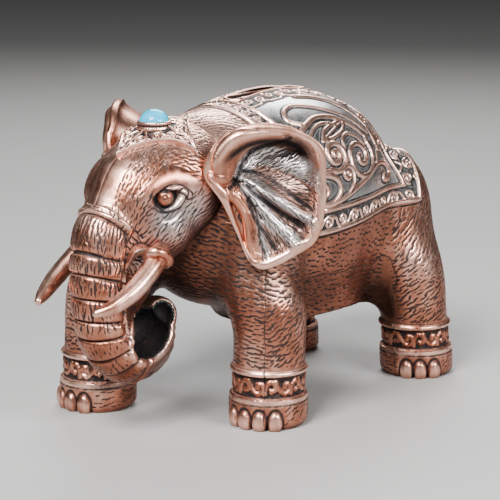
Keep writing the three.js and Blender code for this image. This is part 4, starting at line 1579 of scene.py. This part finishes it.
def bezel_part():
    """The stone's ring: a fluted band between two plain rolls."""
    centre, radius, top = round_node("gem_bezel")
    outer = radius + 0.2
    profile = [
        (4.0, -0.6), (outer, -0.6), (outer, 0.4), (outer - 0.35, 0.8), (outer - 0.3, top - 1.0),
        (outer - 0.15, top - 0.5), (outer - 0.3, top - 0.1), (outer - 0.7, top),
        (4.15, top - 0.25), (3.9, top - 0.9), (3.9, -0.5),
    ]
    points, quads = lathe(profile, centre, 240, 0.006, 40)
    height = points[:, 2] - centre[2]
    outside = np.hypot(points[:, 0] - centre[0], points[:, 1]) > 4.1
    band = (height > 0.7) & (height < top - 0.9) & outside
    return points, quads, {"ink": 0.85 * band, "lift": np.where(band, 0.4, 0.9)}


def gem_part():
    """A domed stone."""
    centre, radius, height = round_node("turquoise_cabochon")
    radius += 0.35
    turn = np.linspace(0, math.pi / 2, 40)
    dome = [(max(radius * math.cos(t), 0.02), height * math.sin(t)) for t in turn]
    return *lathe([(0.02, -0.4), (radius, -0.4), *dome], centre, 128), {}


def ball(centre, radii, rows, around):
    polar = np.linspace(0.02, math.pi - 0.02, rows)[:, None]
    turn = np.linspace(0, 2 * math.pi, around, endpoint=False)
    ring = [np.sin(polar) * np.cos(turn), np.sin(polar) * np.sin(turn), np.cos(polar) + 0 * turn]
    points = np.array(centre) + np.array(radii) * np.stack(ring, -1).reshape(-1, 3)
    return points, faced_out(points, grid_quads(rows, around, wrap=True))


def eye_part():
    """The eyeball, with a ring cut round its pupil and a painted shadow of the upper lid in black across its
    top.
    """
    skin = sheet_skin(*ball(EYE, EYE_R, 48, 96))
    from_pupil = np.degrees(np.arccos(np.clip(skin.normals @ unit(np.array(EYE_AHEAD)), -1, 1)))
    skin.cut(hump(from_pupil - 15, 5.0), 0.25, 0.9)
    skin.blacken(0.85 * step_up(from_pupil, 44, 66))
    # painted shadow of the upper lid across the top of the ball
    skin.blacken(0.85 * step_up(skin.normals[:, 2], 0.4, 0.75))
    return skin.part()


def cup_parts():
    """The glossy lining: seen from within, so its faces look towards its own centre."""
    parts = []
    for centre, radii, tilt, others in (
        (CUP_CENTRE, CUP_RADII, CUP_TILT, nostril),
        (NOSTRIL_CENTRE, NOSTRIL_RADII, 0.0, cup_bowl),
    ):
        points, quads = ball((0, 0, 0), radii, 120, 200)
        points = tilted(points, (0, 0, 0), -tilt) + centre
        place = points.astype(np.float32)
        inside = (head(place) < 0.1) & (others(place) > -0.1)
        used, local = np.unique(quads[inside[quads].all(1)], return_inverse=True)
        parts.append((points[used], local.reshape(-1, 4)[:, ::-1], {}))
    return parts


def thicken(obj, depth):
    """Closes a sheet into a wall, growing away from its faces."""
    wall = obj.modifiers.new("wall", "SOLIDIFY")
    wall.thickness = depth * MM
    wall.offset = -1


def slot_part():
    """The slot's lining: a sleeve with rounded ends and a rolled rim, open above and below."""
    end = SLOT_WIDTH / 2
    half = SLOT_LENGTH / 2 - end
    turn = np.linspace(-math.pi / 2, math.pi / 2, 24)
    right = stacked(half + end * np.cos(turn), end * np.sin(turn))
    outline = np.vstack([right, -right])
    crown = drop_onto(torso, outline + (SLOT_CENTRE_X, 0), 99, 0.55)
    x, y = outline.T
    endwards = np.sign(x) * (np.abs(x) > half) * np.abs(unit(outline)[:, 0])
    outwards = stacked(endwards, np.sign(y) * (np.abs(x) <= half + 1.5))
    profile = (  # growth outwards, rise over the cloth
        (0.9, -1.2), (0.95, 0.1), (0.6, 0.55), (0.15, 0.5), (-0.1, 0.1), (-0.1, -7), (0.7, -7.2), (0.9, -1.2),
    )
    rings = [
        np.column_stack([outline + grow * outwards + (SLOT_CENTRE_X, 0), crown[:, 2] + rise])
        for grow, rise in profile
    ]
    ring = np.repeat(np.arange(len(rings)), len(outline))
    marks = {"ink": np.where(ring >= 4, 0.85, 0.0), "lift": np.where(ring < 4, 0.9, 0.3)}
    return np.vstack(rings), grid_quads(len(rings), len(outline), wrap=True), marks


def seat_part():
    """The rolled lip round the stopper's hole under the belly."""
    r = HOLE_R
    profile = [
        (r + 3, 5), (r + 3, 0.2), (r + 2.6, -0.2), (r + 0.5, -0.2),
        (r, 0.2), (r, 5), (r + 1, 5.6), (r + 2.6, 5.6),
    ]
    points, quads = lathe(profile, (HOLE_X, 0, HOLE_Z), 144)
    height = points[:, 2] - HOLE_Z
    bore = (np.hypot(points[:, 0] - HOLE_X, points[:, 1]) < r + 0.3) & (height > 0.6)
    return points, quads, {"ink": 0.8 * bore, "lift": np.where(height < 0.6, 0.8, 0.4)}


def stopper_part():
    """A moulded rubber plug: a flange with a ringed face, a ribbed neck and a hollow top."""
    _, flange, tall = round_node("belly_stopper")
    low, _ = node_box("belly_stopper")
    face = [(0.02, 1.2), (3.2, 1.2), (3.6, 0.75), (8.2, 0.75), (8.6, 1.0), (9.0, 0.2), (9.6, 0)]
    edge = [(-0.8, 0), (-0.2, 0.25), (0, 0.8), (-0.2, 1.7), (-0.8, 2.0)]
    neck = [
        (13.9, 2.0), (13.3, 2.4), (13.2, 3.2), (13.7, 3.9), (13.2, 4.6), (13.1, 5.2), (13.6, 5.9),
        (13.1, 6.6), (12.9, 7.6),
    ]
    top = [(12.2, -0.5), (11.4, 0), (9.6, 0), (9.0, -0.5), (8.8, -4.6), (8.2, -5), (0.02, -5)]
    profile = face + [(flange + x, z) for x, z in edge] + neck + [(x, tall + z) for x, z in top]
    return *lathe(profile, (HOLE_X, 0, low[2]), 192), {}


# --------------------------------------------------------------------------------------------------
# Assembly
# --------------------------------------------------------------------------------------------------


def dress_body(copper, dark, cloth):
    """The five body shells' skins, split where the CAD nodes meet, with the cloth over them."""
    skin = body_skin(ROUNDS)
    centres = skin.middles()
    owner = nearest_node(centres, BODY_NODES)
    skin.cut(hump(seam_gap(skin, owner), 0.3), 0.28, 0.9)
    hole = np.hypot(centres[:, 0] - HOLE_X, centres[:, 1]) - (HOLE_R + 2.5)
    closed = (slot_gap(centres) >= 0.2) & ((hole >= 0) | (centres[:, 2] >= 40))

    saddle = saddle_skin(0.3)
    saddle_centres = saddle.middles()
    saddle_owner = nearest_node(saddle_centres, BODY_NODES)
    saddle_owner = np.where(saddle_owner > 2, 1 + (saddle_centres[:, 1] > 0), saddle_owner)
    # the cloth's parting line crosses the ground but not the scrolls
    saddle.cut(hump(seam_gap(saddle, saddle_owner), 0.22) * (1 - saddle.tone), 0.15, 0.8)
    saddle_closed = slot_gap(saddle_centres) >= 0.25

    for index, name in enumerate(BODY_NODES):
        parts = [skin.part((owner == index) & closed)]
        # the belly shell and the seat take the darker copy of the copper: painted shade underneath
        if name == "belly_shell":
            piece(name + "_skin", [*parts, seat_part()], dark, replaces=(name,))
        else:
            piece(name + "_skin", parts, copper, replaces=(name,))
        if (saddle_owner == index).any():
            cover = saddle.part((saddle_owner == index) & saddle_closed)
            piece("saddle_over_" + name, [cover], cloth)
    piece("coin_slot_rim", [slot_part()], copper)


def dress_head(copper, cloth):
    """The head's two halves, and what sits on top of it."""
    skin = head_skin(ROUNDS)
    left = skin.middles()[:, 1] < 0
    for name, keep in (("head_shell_left", left), ("head_shell_right", ~left)):
        piece(name + "_skin", [skin.part(keep)], copper, replaces=(name,))
    plate = head_plate_skin().part()
    piece("head_plate_skin", [plate], cloth, replaces=("head_plate",))
    piece("gem_bezel_skin", [bezel_part()], copper, replaces=("gem_bezel",))
    stone = "turquoise_cabochon"
    piece(stone + "_skin", [gem_part()], turquoise(), replaces=(stone,))


def dress_pairs(copper, cloth):
    """Ears, tusks, lips and eyes, modelled on the left and mirrored to the right."""
    skins = (ear_skin(110, 460), tusk_skin(), *collar_skins())
    left = [*(skin.part() for skin in skins), eye_part()]
    right = [mirrored(part) for part in left]
    right[0] = swung(right[0], FAR_EAR_PIVOT, FAR_EAR_TURN, FAR_EAR_SHIFT)
    for side, (ear, tusk, fold, lobe, eye) in (("left", left), ("right", right)):
        piece("ear_" + side + "_skin", [ear], cloth, replaces=("ear_" + side,))
        piece("tusk_" + side + "_skin", [tusk], copper, replaces=("tusk_" + side,))
        piece("tusk_collar_" + side, [fold, lobe], copper)
        piece("eye_" + side, [eye], copper)


def build():
    copper = patina("antique_copper", (0.96, 0.58, 0.45), (0.44, 0.17, 0.105), (0.16, 0.042, 0.021), 1.0)
    # a darker copy of the copper for the belly shell and the stopper's seat: painted shade underneath
    dark = patina("dark_copper", (0.66, 0.34, 0.25), (0.34, 0.13, 0.08), (0.14, 0.04, 0.022), 1.1)
    cloth = patina("silvered_copper", (0.92, 0.56, 0.44), (0.56, 0.25, 0.165), (0.22, 0.065, 0.035), 0.95)
    dress_body(copper, dark, cloth)
    dress_head(copper, cloth)
    dress_pairs(copper, cloth)
    gloss = black_gloss()
    liner = piece("trunk_liner_skin", cup_parts(), gloss, replaces=("trunk_liner",))
    thicken(liner, 0.8)
    piece("tail_skin", [tail_skin().part()], copper, replaces=("tail",))
    piece("belly_stopper_skin", [stopper_part()], rubber(), "stopper", ("belly_stopper",))


# --------------------------------------------------------------------------------------------------
# Camera, floor and lights
# --------------------------------------------------------------------------------------------------

CAMERA_AT = (-469, -400, 176)
CAMERA_HEADING = (0.7627, 0.6468)
CAMERA_PITCH = math.radians(11.89)
LENS = 144
FLOOR_REACH = 3000.0
FLOOR_COLOUR = (0.28, 0.275, 0.27, 1)
SKY_COLOUR = (0.86, 0.88, 0.9, 1)
SKY_STRENGTH = 0.04
SOFTBOXES = [  # name, place and size in metres, watts
    ("key", (-0.50, -0.12, 0.62), (0.30, 0.30), 20),
    ("side", (-0.02, -0.75, 0.45), (0.40, 0.16), 12),
    ("back", (0.5, 0.35, 0.55), (0.5, 0.25), 6.5),
]
LIT_POINT = (0, 0, 0.05)  # where every softbox points, in metres


def studio():
    camera = bpy.data.objects.new("camera", bpy.data.cameras.new("camera"))
    camera.location = Vector(CAMERA_AT) * MM
    flat = math.cos(CAMERA_PITCH)
    look = Vector((CAMERA_HEADING[0] * flat, CAMERA_HEADING[1] * flat, -math.sin(CAMERA_PITCH)))
    camera.rotation_euler = look.to_track_quat("-Z", "Y").to_euler()
    camera.data.lens = LENS
    camera.data.sensor_width = 36
    camera.data.clip_start = 0.01
    bpy.context.scene.collection.objects.link(camera)
    bpy.context.scene.camera = camera

    world = bpy.data.worlds.new("studio")
    world.use_nodes = True
    background = world.node_tree.nodes["Background"]
    background.inputs["Color"].default_value = SKY_COLOUR
    background.inputs["Strength"].default_value = SKY_STRENGTH
    bpy.context.scene.world = world

    for name, place, size, power in SOFTBOXES:
        data = bpy.data.lights.new(name, "AREA")
        data.shape = "RECTANGLE"
        data.size, data.size_y = size
        data.energy = power
        light = bpy.data.objects.new(name, data)
        light.location = place
        aim = Vector(LIT_POINT) - Vector(place)
        light.rotation_euler = aim.to_track_quat("-Z", "Y").to_euler()
        bpy.context.scene.collection.objects.link(light)

    corners = np.array([(-1, -1, 0), (1, -1, 0), (1, 1, 0), (-1, 1, 0)]) * FLOOR_REACH
    pale, _, shader = new_material("pale_floor")
    shader.inputs["Base Color"].default_value = FLOOR_COLOUR
    shader.inputs["Roughness"].default_value = 0.6
    floor = mesh_object("floor", corners, np.array([(0, 1, 2, 3)]), pale, {})


studio()
build()
